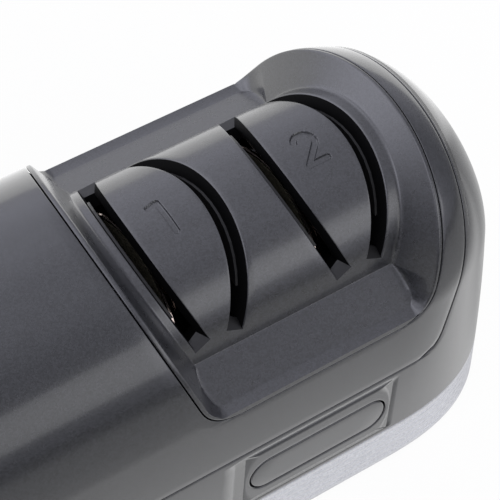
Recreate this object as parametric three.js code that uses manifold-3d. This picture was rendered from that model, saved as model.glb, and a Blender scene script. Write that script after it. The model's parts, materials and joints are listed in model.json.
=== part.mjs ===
// Electric knife sharpener with two slotted grinding stages.
// Millimetres, +Z up. X runs along the body with the stages towards +X, the front is -Y,
// and the origin is on the table under the middle of the body.

import * as THREE from 'three';
import { mergeVertices } from 'three/addons/utils/BufferGeometryUtils.js';
import Module from 'manifold-3d';

const wasm = await Module();
wasm.setup();

// Driving dimensions of the whole body
const straightLength = 121;
const domeReach = 37.3;
const skirtReachGain = 7.7;
const skirtBulgeShare = 0.4;
const barrelRadius = 36.3;
const barrelAxisHeight = 49.1;
const skirtLeanDegrees = 8.53;
const bodyBottom = 2;
const bandTop = 14.6;
const shellWall = 2.4;
const seamGap = 0.4;
const runningGap = 0.3;
const cutOverrun = 8;

// Shape of the rounded ends, as the exponent of a superellipse
const endPowerShare = 2.67;

// Stages: a round hump cut by two leaning slots for each grinding stage
const humpRadius = 25;
const humpAxisRise = 4.3;
const stageOneX = 19.25;
const stagePitch = 36.55;
const slotLeanDegrees = 24.2;
const slotWidth = 4.34;
const slotThroat = 2.9;
const slotReach = 8.695;
const slotEndSetbackDegrees = 11.1;
const slotEndSlantDegrees = 4;
const slotEndFlareDegrees = 6;
const slotFlareDepth = 2.1;
const ledgeWidth = 2.1;
const ledgeDepth = 0.4;
const ledgeRise = 6;
const coverWall = 2.4;
const coverLip = 1;
const guidePlateThickness = 1.8;
const guidePlateHeight = 7.6;
const lipRise = -1;

// Valley in which the cover sits, seen from the side
const valleyLeftReach = 9.15;
const valleyLeftLeanDegrees = 21.6;
const valleyRightReach = 11.8;
const valleyRightLeanDegrees = 17.2;
const valleyLeftCorner = 8;
const valleyRightCorner = 8;

// Seam between the upper and the lower housing, seen from the side
const seamHeight = 36.3;
const seamEndReach = 9;
const seamLeanDegrees = 13.8;
const seamCorner = 6;

// Silver band round the foot of the body
const bandWall = 2;
const bandGrooves = 5;
const bandGrooveDepth = 0.7;
const bandEdge = 1.2;

// Bare badge plate on the front
const badgeX = 40.4;
const badgeHeight = 24.6;
const badgeLength = 36.8;
const badgeWidth = 9.4;
const badgeDepth = 1.1;
const badgeGap = 0.35;

// Base plate, feet and screws
const plateThickness = 2.2;
const footRadius = 7;
const footStemRadius = 2.6;
const footPostReach = 1.5;
const footEdge = 18.77;
const footRecess = 1.2;
const footChamfer = 0.8;
const footBarbHeight = 1.4;
const bossSetback = 10.5;
const bossEdge = 9.37;
const bossRadius = 4.2;
const bossTop = 16;
const screwShank = 1.5;
const screwHead = 3;
const screwHeadHeight = 1.3;
const screwSink = 0.1;
const screwLength = 9;
const ventLength = 22;
const ventWidth = 2.4;
const ventPitch = 6;
const ventCount = 5;
const ventX = 44;

// Spindle, wheels and springs
const spindleDrop = 1.4;
const shaftRadius = 4;
const wheelCoverGap = 1;
const wheelThickness = 3;
const wheelFace = 7.2;
const wheelRimWidth = 0.7;
const wheelBevel = 1.2;
const wheelHubRadius = 5.7;
const wheelHubReach = 2.2;
const gritThickness = 0.5;
const gritInnerRadius = 9;
const gritSink = 0.1;
const clipWidth = 1;
const clipRadius = 6.2;
const collarRadius = 7.5;
const collarWidth = 1;
const springWire = 0.8;
const springMeanRadius = 6.75;
const springTurns = 1.5;
const springCurlSteps = 8;
const springSides = 5;

// Bearings and their posts
const bushLength = 6;
const bushRadius = 7;
const postThickness = 4;
const postLeftReach = 16.25;
const postRightReach = 15.7;
const postHeadRadius = 10.5;
const postFootEdge = 5;

// Motor and its parts
const motorRadius = 22;
const motorEndRoom = 27.8;
const motorJoinReach = 8;
const motorCapLength = 7;
const motorNoseRadius = 9;
const motorNoseLength = 2.5;
const motorChamfer = 1.5;
const cradleThickness = 6;
const cradleHorn = 2.43;
const cradleInset = 7;
const cradleGripDegrees = 38;
const couplingRadius = 8;
const couplingLength = 10;
const shaftJoinReach = 11;
const shaftStub = 1.5;
const fanRadius = 19;
const fanWidth = 6;
const fanHubRadius = 7;
const fanBlades = 7;
const fanBladeThickness = 1.2;
const fanTwistDegrees = 32;
const fanGap = 2.5;

// Circuit board under the motor
const boardGap = 1;
const boardWidth = 30;
const boardThickness = 1.6;
const boardHeight = 10;
const boardPegRadius = 2.4;
const capacitorLength = 16;
const capacitorWidth = 7;
const capacitorHeight = 11;

// Rocker switch on the front and cord inlet on the back
const switchX = -42;
const switchHeight = 26.6;
const switchLength = 21;
const switchWidth = 13;
const switchDepth = 15;
const switchWall = 1.4;
const bezelRim = 1.8;
const bezelProud = 1;
const rockerThrowDegrees = 9;
const rockerSlope = 1.9;
const rockerRise = 0.2;
const rockerPivotDepth = 2.4;
const inletX = -50;
const inletHeight = 25;
const inletRadius = 6.4;
const inletBore = 3.6;
const inletFlange = 1.8;
const inletRim = 2.2;
const inletDepth = 9;

// Filings tray under the wheels, drawn out at the back
const trayLeftReach = 6.75;
const trayRightReach = 6.7;
const trayFloor = 17.6;
const trayTop = 31;
const trayWall = 1.5;
const trayWheelGap = 0.7;
const trayReach = 30;
const trayFrontRise = 0.6;
const trayPull = 12;
const trayPullDepth = 3;
const trayPullHeight = 5;
const runnerWidth = 4;
const runnerFlange = 8;
const runnerLip = 1.9;

// Number of steps in the round surfaces
const endSteps = 7;
const archSteps = 18;
const wheelSteps = 22;
const smallSteps = 12;
const holeSteps = 8;
const humpSteps = 7;
const slopeSteps = 3;
const slotSteps = 10;
const ventSteps = 2;
const halvings = 24;

const rad = THREE.MathUtils.degToRad;
const half = (length) => length / 2;
const slotLean = Math.tan(rad(slotLeanDegrees));
const valleyLeftLean = Math.tan(rad(valleyLeftLeanDegrees));
const valleyRightLean = Math.tan(rad(valleyRightLeanDegrees));
const seamLean = Math.tan(rad(seamLeanDegrees));
const straightEnd = half(straightLength);
const stages = [stageOneX, stageOneX + stagePitch];
const humpAxisHeight = barrelAxisHeight + humpAxisRise;
const spindleHeight = humpAxisHeight - spindleDrop;
const wheelRadius = humpRadius - coverWall - spindleDrop - wheelCoverGap;
const guidePlateBottom = humpRadius - coverWall - guidePlateHeight;
const valleyLeftX = stages[0] - valleyLeftReach;
const valleyRightX = stages[1] + valleyRightReach;
const seamEndX = valleyRightX + seamEndReach;
const trayLeft = stages[0] - trayLeftReach;
const trayRight = stages[1] + trayRightReach;
const postLeftX = stages[0] - postLeftReach;
const postRightX = stages[1] + postRightReach;
const shaftJoinX = postLeftX - shaftJoinReach;
const motorRight = shaftJoinX - motorJoinReach;
const motorLeft = motorEndRoom - straightEnd - domeReach;
const skirtLean = rad(skirtLeanDegrees);
const shoulderHeight = barrelAxisHeight + barrelRadius * Math.sin(skirtLean);
const shoulderHalfWidth = barrelRadius * Math.cos(skirtLean);
const footHalfWidth = shoulderHalfWidth + (shoulderHeight - bodyBottom) * Math.tan(skirtLean);
const plateTop = bodyBottom + plateThickness;
const footX = postRightX - footPostReach;
const footY = footHalfWidth - footEdge;
const postFootHalf = footY - postFootEdge;
const bossX = straightEnd - bossSetback;
const bossY = footHalfWidth - bossEdge;

// Materials

function plastic(color, roughness) {
  return new THREE.MeshStandardMaterial({ color, roughness, metalness: 0.0 });
}

function metal(color, roughness) {
  return new THREE.MeshStandardMaterial({ color, roughness, metalness: 1.0 });
}

const finishes = {
  housing: plastic(0x55565a, 0.3),
  cover: plastic(0x4c4d51, 0.45),
  band: plastic(0xc9cacd, 0.35),
  black: plastic(0x151516, 0.5),
  greyPlastic: plastic(0x3a3b3d, 0.6),
  rubber: plastic(0x1c1c1c, 0.9),
  copper: metal(0xb87a4f, 0.3),
  grit: plastic(0x4a4a38, 0.95),
  steel: metal(0x9a9c9f, 0.35),
  bronze: metal(0x9c7443, 0.45),
  board: plastic(0x2c5a3c, 0.6),
  amber: plastic(0xb98a3a, 0.4),
};

// Each mesh gets a copy of its finish, so that every piece owns its material.
const part = new THREE.Group();

function addPiece(name, shape, finish, parent = part) {
  const geometry = shape.isBufferGeometry ? shape : toGeometry(shape);
  const mesh = new THREE.Mesh(weld(geometry), finishes[finish].clone());
  mesh.geometry.computeVertexNormals();
  mesh.name = name;
  parent.add(mesh);
  return mesh;
}

// Solid geometry

function weld(geometry) {
  const bare = geometry.index ? geometry.toNonIndexed() : geometry.clone();
  bare.deleteAttribute('normal');
  bare.deleteAttribute('uv');
  const merged = mergeVertices(bare, 1e-4);
  const kept = [];
  const index = merged.index.array;
  for (let i = 0; i < index.length; i += 3) {
    const [a, b, c] = [index[i], index[i + 1], index[i + 2]];
    if (a !== b && b !== c && c !== a) {
      kept.push(a, b, c);
    }
  }
  merged.setIndex(kept);
  return merged;
}

function toSolid(geometry) {
  const merged = weld(geometry);
  return new wasm.Manifold(new wasm.Mesh({
    numProp: 3,
    vertProperties: new Float32Array(merged.attributes.position.array),
    triVerts: new Uint32Array(merged.index.array),
  }));
}

function toGeometry(solid) {
  const mesh = solid.getMesh();
  const geometry = new THREE.BufferGeometry();
  const places = new Float32Array(mesh.numProp === 3 ? mesh.vertProperties : []);
  geometry.setAttribute('position', new THREE.BufferAttribute(places, 3));
  geometry.setIndex(Array.from(mesh.triVerts));
  return geometry;
}

// Six times the volume that a triangle list encloses: negative where its faces point in.
function signedVolume(points, faces) {
  let sum = 0;
  for (const [a, b, c] of faces) {
    sum += points[a].dot(points[b].clone().cross(points[c]));
  }
  return sum;
}

// Skins a list of rings, each with as many points. A ring that has shrunk to a line or
// a point closes the skin by itself, and any other first or last ring gets a flat cap,
// for which capOutline gives the ring's points in the cap's own plane.
function skin(rings, capOutline) {
  const count = rings[0].length;
  const points = rings.flat();
  const faces = [];
  for (let r = 0; r + 1 < rings.length; r += 1) {
    for (let i = 0; i < count; i += 1) {
      const next = (i + 1) % count;
      const [a, b] = [r * count + i, r * count + next];
      const [c, d] = [a + count, b + count];
      faces.push([a, b, d], [a, d, c]);
    }
  }
  if (capOutline) {
    const lastStart = (rings.length - 1) * count;
    const flatFirst = capOutline(rings[0]);
    const clockwise = THREE.ShapeUtils.area(flatFirst) < 0;
    const caps = THREE.ShapeUtils.triangulateShape(clockwise ? flatFirst.reverse() : flatFirst, []);
    const at = (i) => (clockwise ? count - 1 - i : i);
    for (const [a, b, c] of caps) {
      const [p, q, s] = clockwise ? [at(c), at(b), at(a)] : [at(a), at(b), at(c)];
      faces.push([q, p, s], [lastStart + p, lastStart + q, lastStart + s]);
    }
  }
  const outward = signedVolume(points, faces) > 0;
  const geometry = new THREE.BufferGeometry();
  geometry.setAttribute('position', new THREE.Float32BufferAttribute(
    points.flatMap((p) => [p.x, p.y, p.z]), 3));
  geometry.setIndex(faces.flatMap(([a, b, c]) => (outward ? [a, b, c] : [a, c, b])));
  return geometry;
}

// Profile of [radius, place along X] pairs, turned about the X axis.
function turned(profile, steps) {
  const points = profile.map(([radius, along]) => new THREE.Vector2(radius, along));
  return weld(new THREE.LatheGeometry(points, steps).rotateZ(-Math.PI / 2));
}

function upright(profile, steps) {
  const points = profile.map(([radius, rise]) => new THREE.Vector2(radius, rise));
  return weld(new THREE.LatheGeometry(points, steps).rotateX(Math.PI / 2));
}

function ringProfile(inner, outer, start, end) {
  return [[inner, start], [outer, start], [outer, end], [inner, end], [inner, start]];
}

function discProfile(radius, start, end) {
  return [[0, start], [radius, start], [radius, end], [0, end]];
}

// Plates cut from a flat outline: along X from an outline in Y and Z, along Y from one
// in X and Z, and along Z from one in X and Y.
function plateAlongX(shape, start, end, steps = holeSteps) {
  const plate = new THREE.ExtrudeGeometry(shape, extrusion(end - start, steps));
  const turn = new THREE.Matrix4().makeBasis(
    new THREE.Vector3(0, 1, 0), new THREE.Vector3(0, 0, 1), new THREE.Vector3(1, 0, 0));
  return plate.applyMatrix4(turn).translate(start, 0, 0);
}

function plateAlongY(shape, start, end, steps = holeSteps) {
  const plate = new THREE.ExtrudeGeometry(shape, extrusion(end - start, steps));
  return plate.rotateX(Math.PI / 2).translate(0, end, 0);
}

function plateAlongZ(shape, start, end, steps = holeSteps) {
  return new THREE.ExtrudeGeometry(shape, extrusion(end - start, steps)).translate(0, 0, start);
}

function extrusion(depth, curveSegments) {
  return { depth, curveSegments, bevelEnabled: false };
}

function polygon(points) {
  return new THREE.Shape(points.map(([x, y]) => new THREE.Vector2(x, y)));
}

// Outline whose corners are rounded by a reach along both of their edges.
function roundedPolygon(points, reaches) {
  const shape = new THREE.Shape();
  const corners = points.map(([x, y]) => new THREE.Vector2(x, y));
  corners.forEach((corner, i) => {
    const before = corners[(i + corners.length - 1) % corners.length];
    const after = corners[(i + 1) % corners.length];
    const inward = before.clone().sub(corner).setLength(reaches[i]).add(corner);
    const outward = after.clone().sub(corner).setLength(reaches[i]).add(corner);
    if (i === 0) {
      shape.moveTo(inward.x, inward.y);
    } else {
      shape.lineTo(inward.x, inward.y);
    }
    if (reaches[i] > 0) {
      shape.quadraticCurveTo(corner.x, corner.y, outward.x, outward.y);
    }
  });
  shape.closePath();
  return shape;
}

function rectangle(x, y, width, height) {
  const [dx, dy] = [half(width), half(height)];
  return polygon([[x - dx, y - dy], [x + dx, y - dy], [x + dx, y + dy], [x - dx, y + dy]]);
}

function stadium(x, y, length, width) {
  const radius = half(width);
  const reach = half(length) - radius;
  const shape = new THREE.Shape();
  shape.absarc(x + reach, y, radius, -Math.PI / 2, Math.PI / 2, false);
  shape.absarc(x - reach, y, radius, Math.PI / 2, 3 * Math.PI / 2, false);
  shape.closePath();
  return shape;
}

function box(x0, x1, y0, y1, z0, z1) {
  return new THREE.BoxGeometry(x1 - x0, y1 - y0, z1 - z0)
    .translate(half(x0 + x1), half(y0 + y1), half(z0 + z1));
}

function barAlongY(x, z, radius, start, end, steps) {
  return new THREE.CylinderGeometry(radius, radius, end - start, steps)
    .translate(x, half(start + end), z);
}

// Body form: a barrel with domed ends over a skirt that leans out to its foot. The arch
// of the barrel meets the skirt at the shoulder without a break, and so do the ends.
// Every surface of the housings is this form, drawn in by an inset.

function skirtShare(height) {
  return (shoulderHeight - height) / (shoulderHeight - bodyBottom);
}

function halfWidthAt(height) {
  return shoulderHalfWidth + (footHalfWidth - shoulderHalfWidth) * skirtShare(height);
}

// Reach of the ends past the straight middle, at a height: a line above the shoulder and
// a slightly bulging skirt below it.
function reachAt(height) {
  const share = skirtShare(height);
  const bulge = share > 0 ? skirtBulgeShare * share ** 2 : 0;
  return domeReach + skirtReachGain * ((1 + skirtBulgeShare) * share - bulge);
}

// Shares of the full width and of the full reach at a station of the end's superellipse.
function endShares(turn) {
  return [
    Math.max(0, Math.sin(turn)) ** (2 / endPowerShare),
    Math.max(0, Math.cos(turn)) ** (2 / endPowerShare),
  ];
}

// Cross rings from the left end to the right. A ring runs over the arch from the front
// shoulder to the back one, down the back of the skirt and up its front.
function bodyForm(inset, bottom, levels) {
  const stations = [];
  for (let i = 0; i <= endSteps; i += 1) {
    stations.push({ side: -1, turn: Math.PI / 2 * i / endSteps });
  }
  for (let i = endSteps; i >= 0; i -= 1) {
    stations.push({ side: 1, turn: Math.PI / 2 * i / endSteps });
  }
  const skirtHeights = [];
  for (let i = 1; i <= levels; i += 1) {
    skirtHeights.push(shoulderHeight + (bottom - shoulderHeight) * i / levels);
  }
  const radius = barrelRadius - inset;
  const rings = stations.map(({ side, turn }) => {
    const [widthShare, reachShare] = endShares(turn);
    const along = (height) => side * (straightEnd + (reachAt(height) - inset) * reachShare);
    const ring = [];
    for (let i = 0; i <= archSteps; i += 1) {
      const angle = skirtLean + (Math.PI - 2 * skirtLean) * i / archSteps;
      const fullRise = barrelAxisHeight + radius * Math.sin(angle) - shoulderHeight;
      const height = shoulderHeight + fullRise * (fullRise > 0 ? widthShare : 1);
      ring.push(new THREE.Vector3(along(height), -radius * Math.cos(angle) * widthShare, height));
    }
    for (const height of skirtHeights) {
      ring.push(new THREE.Vector3(along(height), (halfWidthAt(height) - inset) * widthShare, height));
    }
    for (const height of skirtHeights.toReversed()) {
      ring.push(new THREE.Vector3(along(height), -(halfWidthAt(height) - inset) * widthShare, height));
    }
    return ring;
  });
  return toSolid(skin(rings, null));
}

// Plan outline of the body at a height, drawn in by an inset.
function planOutline(height, inset) {
  const outline = [];
  const quarter = (side, front, order) => {
    for (const i of order) {
      const [widthShare, reachShare] = endShares(Math.PI / 2 * i / endSteps);
      const x = straightEnd + (reachAt(height) - inset) * reachShare;
      const y = (halfWidthAt(height) - inset) * widthShare;
      outline.push(new THREE.Vector2(side * x, front * y));
    }
  };
  const rising = Array.from({ length: endSteps + 1 }, (_, i) => i);
  quarter(1, 1, rising);
  quarter(-1, 1, rising.toReversed().slice(0, -1));
  quarter(-1, -1, rising);
  quarter(1, -1, rising.toReversed().slice(0, -1));
  return outline;
}

// Plate with the body's plan outline between two heights.
function planSlab(levels) {
  const rings = levels.map(({ height, inset }) =>
    planOutline(height, inset).map((p) => new THREE.Vector3(p.x, p.y, height)));
  return toSolid(skin(rings, (ring) => ring.map((p) => new THREE.Vector2(p.x, p.y))));
}

// Side outlines shared by the housings and the cover

const skyHeight = barrelAxisHeight + barrelRadius + cutOverrun;
const farX = straightEnd + domeReach + skirtReachGain + cutOverrun;
const farY = footHalfWidth + cutOverrun;

function valleyOutline(inset) {
  const floor = humpAxisHeight + lipRise + inset;
  const leftAt = (z) => valleyLeftX + inset - valleyLeftLean * (z - humpAxisHeight);
  const rightAt = (z) => valleyRightX - inset + valleyRightLean * (z - humpAxisHeight);
  return roundedPolygon(
    [[leftAt(skyHeight), skyHeight], [leftAt(floor), floor], [rightAt(floor), floor],
      [rightAt(skyHeight), skyHeight]],
    [0, valleyLeftCorner, valleyRightCorner, 0]);
}

function belowSeamOutline(inset) {
  const top = seamHeight - inset;
  const endAt = (z) => seamEndX + inset + seamLean * (z - humpAxisHeight);
  return roundedPolygon(
    [[-farX, bodyBottom - cutOverrun], [farX, bodyBottom - cutOverrun], [farX, skyHeight],
      [endAt(skyHeight), skyHeight], [endAt(top), top], [-farX, top]],
    [0, 0, 0, 0, seamCorner, 0]);
}

const bodyOuter = bodyForm(0, bodyBottom, 3);
const bodyInner = bodyForm(shellWall, bodyBottom - cutOverrun, 3);
const shell = bodyOuter.subtract(bodyInner);
const belowSeam = toSolid(plateAlongY(belowSeamOutline(half(seamGap)), -farY, farY));
const aboveSeamCut = toSolid(plateAlongY(belowSeamOutline(-half(seamGap)), -farY, farY));

// Upper housing: the barrel and the band round the valley

function makeUpperHousing() {
  const valley = toSolid(plateAlongY(valleyOutline(0), -farY, farY));
  return shell.subtract(aboveSeamCut).subtract(valley);
}

// Lower housing: the skirt and the right end, stepped in at its foot to carry the band

function makeLowerHousing() {
  const stepTop = bandTop + runningGap;
  const footInset = bandWall + runningGap;
  const footTop = stepTop + shellWall;
  const upperWall = shell.intersect(belowSeam)
    .subtract(toSolid(box(-farX, farX, -farY, farY, bodyBottom - cutOverrun, stepTop)));
  const foot = planSlab([
    { height: plateTop + runningGap, inset: footInset },
    { height: footTop, inset: footInset },
  ]).subtract(planSlab([
    { height: plateTop - cutOverrun, inset: footInset + shellWall },
    { height: footTop + cutOverrun, inset: footInset + shellWall },
  ]));
  let housing = upperWall.add(foot);
  for (const x of [-bossX, bossX]) {
    for (const y of [-bossY, bossY]) {
      const boss = upright(discProfile(bossRadius, plateTop + runningGap, bossTop), holeSteps);
      housing = housing.add(toSolid(boss.translate(x, y, 0)));
      const bore = upright(discProfile(screwShank + runningGap, bodyBottom, bossTop - shellWall),
        holeSteps);
      housing = housing.subtract(toSolid(bore.translate(x, y, 0)));
    }
  }
  const badgePocket = toSolid(plateAlongY(
    stadium(badgeX, badgeHeight, badgeLength + 2 * badgeGap, badgeWidth + 2 * badgeGap),
    -farY, 0));
  housing = housing.subtract(badgePocket.subtract(bodyForm(badgeDepth + badgeGap, bodyBottom, 3)));
  housing = housing.subtract(frontSquare(box(
    switchX - half(switchLength) - runningGap, switchX + half(switchLength) + runningGap,
    -cutOverrun, switchDepth,
    -half(switchWidth) - runningGap, half(switchWidth) + runningGap)));
  housing = housing.subtract(toSolid(
    barAlongY(inletX, inletHeight, inletRadius + runningGap, 0, farY, smallSteps)));
  return housing.subtract(toSolid(box(
    trayLeft - runningGap, trayRight + runningGap, 0, farY,
    trayFloor - runningGap, trayTop + trayFrontRise + runningGap)));
}

// A box drawn square to the front wall, with its depth along Y from the wall's face.
function frontSquare(geometry) {
  return toSolid(geometry.applyMatrix4(frontWallPlace()));
}

function frontWallPlace() {
  const place = new THREE.Matrix4().makeRotationX(-skirtLean);
  place.setPosition(0, -halfWidthAt(switchHeight), switchHeight);
  return place;
}

// Silver band: a ring with fine grooves round its face

function makeBaseBand() {
  const levels = [];
  const pitch = (bandTop - bodyBottom - 2 * bandEdge) / bandGrooves;
  levels.push({ height: bodyBottom, inset: half(bandEdge) });
  levels.push({ height: bodyBottom + bandEdge, inset: 0 });
  for (let i = 0; i < bandGrooves; i += 1) {
    const end = bodyBottom + bandEdge + (i + 1) * pitch;
    levels.push({ height: end - bandGrooveDepth, inset: bandGrooveDepth });
    levels.push({ height: end, inset: 0 });
  }
  levels.push({ height: bandTop, inset: 0 });
  const hollow = planSlab([
    { height: bodyBottom - cutOverrun, inset: bandWall },
    { height: bandTop + cutOverrun, inset: bandWall },
  ]);
  return planSlab(levels).subtract(hollow);
}

// Base plate with recesses for the feet, screw holes and two rows of vents

function makeBasePlate() {
  const inset = bandWall + runningGap;
  let plate = planSlab([{ height: bodyBottom, inset }, { height: plateTop, inset }]);
  const cuts = [];
  for (const x of [-footX, footX]) {
    for (const y of [-footY, footY]) {
      cuts.push(upright(discProfile(footRadius + runningGap, 0, bodyBottom + footRecess),
        smallSteps).translate(x, y, 0));
      cuts.push(upright(discProfile(footStemRadius + runningGap, 0, plateTop + cutOverrun),
        holeSteps).translate(x, y, 0));
    }
  }
  for (const x of [-bossX, bossX]) {
    for (const y of [-bossY, bossY]) {
      cuts.push(upright(discProfile(screwShank + runningGap, 0, plateTop + cutOverrun),
        holeSteps).translate(x, y, 0));
      cuts.push(upright(discProfile(screwHead + runningGap, 0, bodyBottom + screwHeadHeight),
        holeSteps).translate(x, y, 0));
    }
  }
  for (let i = 0; i < ventCount; i += 1) {
    const x = (i - half(ventCount - 1)) * ventPitch;
    const slot = stadium(0, 0, ventLength, ventWidth);
    cuts.push(plateAlongZ(slot, 0, plateTop + cutOverrun, ventSteps).rotateZ(Math.PI / 2)
      .translate(x - ventX, 0, 0));
  }
  for (const cut of cuts) {
    plate = plate.subtract(toSolid(cut));
  }
  return plate;
}

// Guide cover: the hump, its ledge and the sloping walls of the valley in one moulding.
// The air over it is swept round the hump's axis: at each angle a section in X and
// radius runs from the hump or slope out past the body, leaning out to both ends.

function isInsideBody(x, y, z) {
  const out = Math.max(0, Math.abs(x) - straightEnd) / reachAt(z);
  const widthShare = Math.max(0, 1 - out ** endPowerShare) ** (1 / endPowerShare);
  if (z <= shoulderHeight) {
    return Math.abs(y) < halfWidthAt(z) * widthShare;
  }
  const rise = (z - shoulderHeight) / widthShare + shoulderHeight - barrelAxisHeight;
  return Math.hypot(y / widthShare, rise) < barrelRadius;
}

// Distance from the hump's axis to the body's surface, found by halving an interval.
function bodyRadiusFromHump(angle, x) {
  let [low, high] = [0, barrelRadius + cutOverrun];
  for (let i = 0; i < halvings; i += 1) {
    const middle = half(low + high);
    const y = middle * Math.sin(angle);
    const z = humpAxisHeight + middle * Math.cos(angle);
    [low, high] = isInsideBody(x, y, z) ? [middle, high] : [low, middle];
  }
  return low;
}

const ledgeInnerAngle = Math.acos(ledgeRise / humpRadius);
const ledgeOuterY = humpRadius * Math.sin(ledgeInnerAngle) + ledgeDepth;
const lipHeight = lipRise + coverLip;
const lipY = halfWidthAt(humpAxisHeight + lipHeight) - coverLip;
const ledgeOuterAngle = Math.atan2(ledgeOuterY, ledgeRise);
const lipAngle = Math.atan2(lipY, lipHeight);

// Radius of the cover's surface at an angle from the top: hump, flat ledge, then slope.
function coverRadiusAt(angle) {
  if (angle <= ledgeInnerAngle) {
    return humpRadius;
  }
  if (angle <= ledgeOuterAngle) {
    return ledgeRise / Math.cos(angle);
  }
  const run = new THREE.Vector2(lipY - ledgeOuterY, lipHeight - ledgeRise);
  const cross = ledgeOuterY * run.y - ledgeRise * run.x;
  return cross / (Math.sin(angle) * run.y - Math.cos(angle) * run.x);
}

const sweepAngles = [];
for (let i = 0; i < humpSteps; i += 1) {
  sweepAngles.push(ledgeInnerAngle * i / humpSteps);
}
sweepAngles.push(ledgeInnerAngle, ledgeOuterAngle);
for (let i = 1; i <= slopeSteps; i += 1) {
  sweepAngles.push(ledgeOuterAngle + (lipAngle - ledgeOuterAngle) * i / slopeSteps);
}
const bothWays = [...sweepAngles.slice(1).map((a) => -a).toReversed(), ...sweepAngles];

function aroundHump(x, radius, angle) {
  return new THREE.Vector3(
    x, radius * Math.sin(angle), humpAxisHeight + radius * Math.cos(angle));
}

// Places of the four edges of the valley at an angle: the outer edges lie on the body's
// surface, drawn in by the lip, and the feet on the cover's own surface. Past the ledge
// the feet and then the edges run in along the rounded corners of the valley.
function valleyEdges(angle) {
  const size = Math.abs(angle);
  const floorRadius = coverRadiusAt(size);
  const slopeShare = Math.max(0, (size - ledgeOuterAngle) / (lipAngle - ledgeOuterAngle));
  const leftRadius = Math.max(floorRadius, bodyRadiusFromHump(size, 0) - coverLip);
  const leftRise = leftRadius * Math.cos(size);
  const rightGuess = valleyRightX + valleyRightLean * leftRise;
  const rightRadius = Math.max(floorRadius, bodyRadiusFromHump(size, rightGuess) - coverLip);
  const rightRise = rightRadius * Math.cos(size);
  const cornerIn = (rise, corner) => {
    const low = Math.max(0, 1 - (rise - lipHeight) / corner);
    return half(corner) * low ** 2;
  };
  const leftEdge = valleyLeftX + coverLip - valleyLeftLean * leftRise
    + cornerIn(leftRise, valleyLeftCorner);
  const rightEdge = valleyRightX - coverLip + valleyRightLean * rightRise
    - cornerIn(rightRise, valleyRightCorner);
  const footRise = Math.max(ledgeRise, floorRadius * Math.cos(size));
  const ledgeReach = slotEdges(footRise)[1] + ledgeWidth;
  const leftFoot = stages[0] - ledgeReach;
  const rightFoot = stages[1] + ledgeReach;
  const blend = slopeShare ** 2;
  return {
    floorRadius,
    leftRadius,
    rightRadius,
    leftEdge,
    rightEdge,
    leftFoot: Math.max(leftEdge, leftFoot + (leftEdge - leftFoot) * blend),
    rightFoot: Math.min(rightEdge, rightFoot + (rightEdge - rightFoot) * blend),
  };
}

// The air over the cover, or that air grown by a wall's thickness.
function valleyAir(grow) {
  const skyRadius = barrelRadius + cutOverrun;
  const sections = bothWays.map((angle) => {
    const edge = valleyEdges(angle);
    const floor = edge.floorRadius - grow;
    const leftTop = Math.max(edge.leftRadius, floor + runningGap);
    const rightTop = Math.max(edge.rightRadius, floor + runningGap);
    return [
      [edge.leftEdge - grow - valleyLeftLean * cutOverrun, skyRadius],
      [edge.leftEdge - grow, leftTop],
      [edge.leftFoot - grow, floor],
      [edge.rightFoot + grow, floor],
      [edge.rightEdge + grow, rightTop],
      [edge.rightEdge + grow + valleyRightLean * cutOverrun, skyRadius],
    ];
  });
  const rings = sections.map((section, i) =>
    section.map(([x, radius]) => aroundHump(x, radius, bothWays[i])));
  return toSolid(skin(rings, (ring) => ring.map((p) => new THREE.Vector2(
    p.x, Math.hypot(p.y, p.z - humpAxisHeight)))));
}

// Inner and outer edge of a slot, measured from the middle of its stage, at a height
// over the hump's axis. Both lean outwards by the slot's angle.
function slotEdges(rise) {
  const inner = slotReach - slotLean * (humpRadius - rise);
  return [inner, inner + slotWidth];
}

// Air of one slot: a throat with a flared mouth, swept round the hump between its ends,
// which slant down to the slot's outer edge.
function slotAir(stageX, side) {
  const end = ledgeInnerAngle - rad(slotEndSetbackDegrees);
  const flare = rad(slotEndFlareDegrees);
  const angles = [-end];
  for (let i = 0; i <= slotSteps; i += 1) {
    angles.push(-end + flare + (2 * end - 2 * flare) * i / slotSteps);
  }
  angles.push(end);
  const sideGap = half(slotWidth - slotThroat);
  const outerShare = 1 + rad(slotEndSlantDegrees) / end;
  const rings = angles.map((angle, i) => {
    const atEnd = i === 0 || i === angles.length - 1;
    const depth = atEnd ? runningGap : coverWall + cutOverrun;
    const flareDepth = atEnd ? half(runningGap) : slotFlareDepth;
    const innerAt = (radius, gap) =>
      stageX + side * (slotEdges(radius * Math.cos(angle))[0] + gap);
    const outerAngle = angle * outerShare;
    const outerAt = (radius, gap) =>
      stageX + side * (slotEdges(radius * Math.cos(outerAngle))[1] - gap);
    const levels = [
      [humpRadius + coverLip, 0],
      [humpRadius, 0],
      [humpRadius - flareDepth, atEnd ? 0 : sideGap],
      [humpRadius - depth, atEnd ? 0 : sideGap],
    ];
    const down = levels.map(([radius, gap]) =>
      aroundHump(innerAt(radius, gap), radius, angle));
    const up = levels.toReversed().map(([radius, gap]) =>
      aroundHump(outerAt(radius, gap), radius, outerAngle));
    return [...down, ...up];
  });
  return toSolid(skin(rings, (ring) => ring.map((p) => new THREE.Vector2(
    p.x, Math.hypot(p.y, p.z - humpAxisHeight)))));
}

function makeGuideCover() {
  const inset = seamGap;
  const block = bodyOuter.intersect(toSolid(plateAlongY(valleyOutline(inset), -farY, farY)));
  const hollow = bodyInner.subtract(valleyAir(coverWall));
  let cover = block.subtract(valleyAir(0)).subtract(hollow);
  for (const stageX of stages) {
    cover = cover.subtract(slotAir(stageX, -1)).subtract(slotAir(stageX, 1));
  }
  return cover;
}

// Badge plate: a thin slice of the front wall that fills its pocket

function makeBadgePlate() {
  const outline = stadium(badgeX, badgeHeight, badgeLength, badgeWidth);
  return bodyOuter.subtract(bodyForm(badgeDepth, bodyBottom, 3))
    .intersect(toSolid(plateAlongY(outline, -farY, 0)));
}

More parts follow.
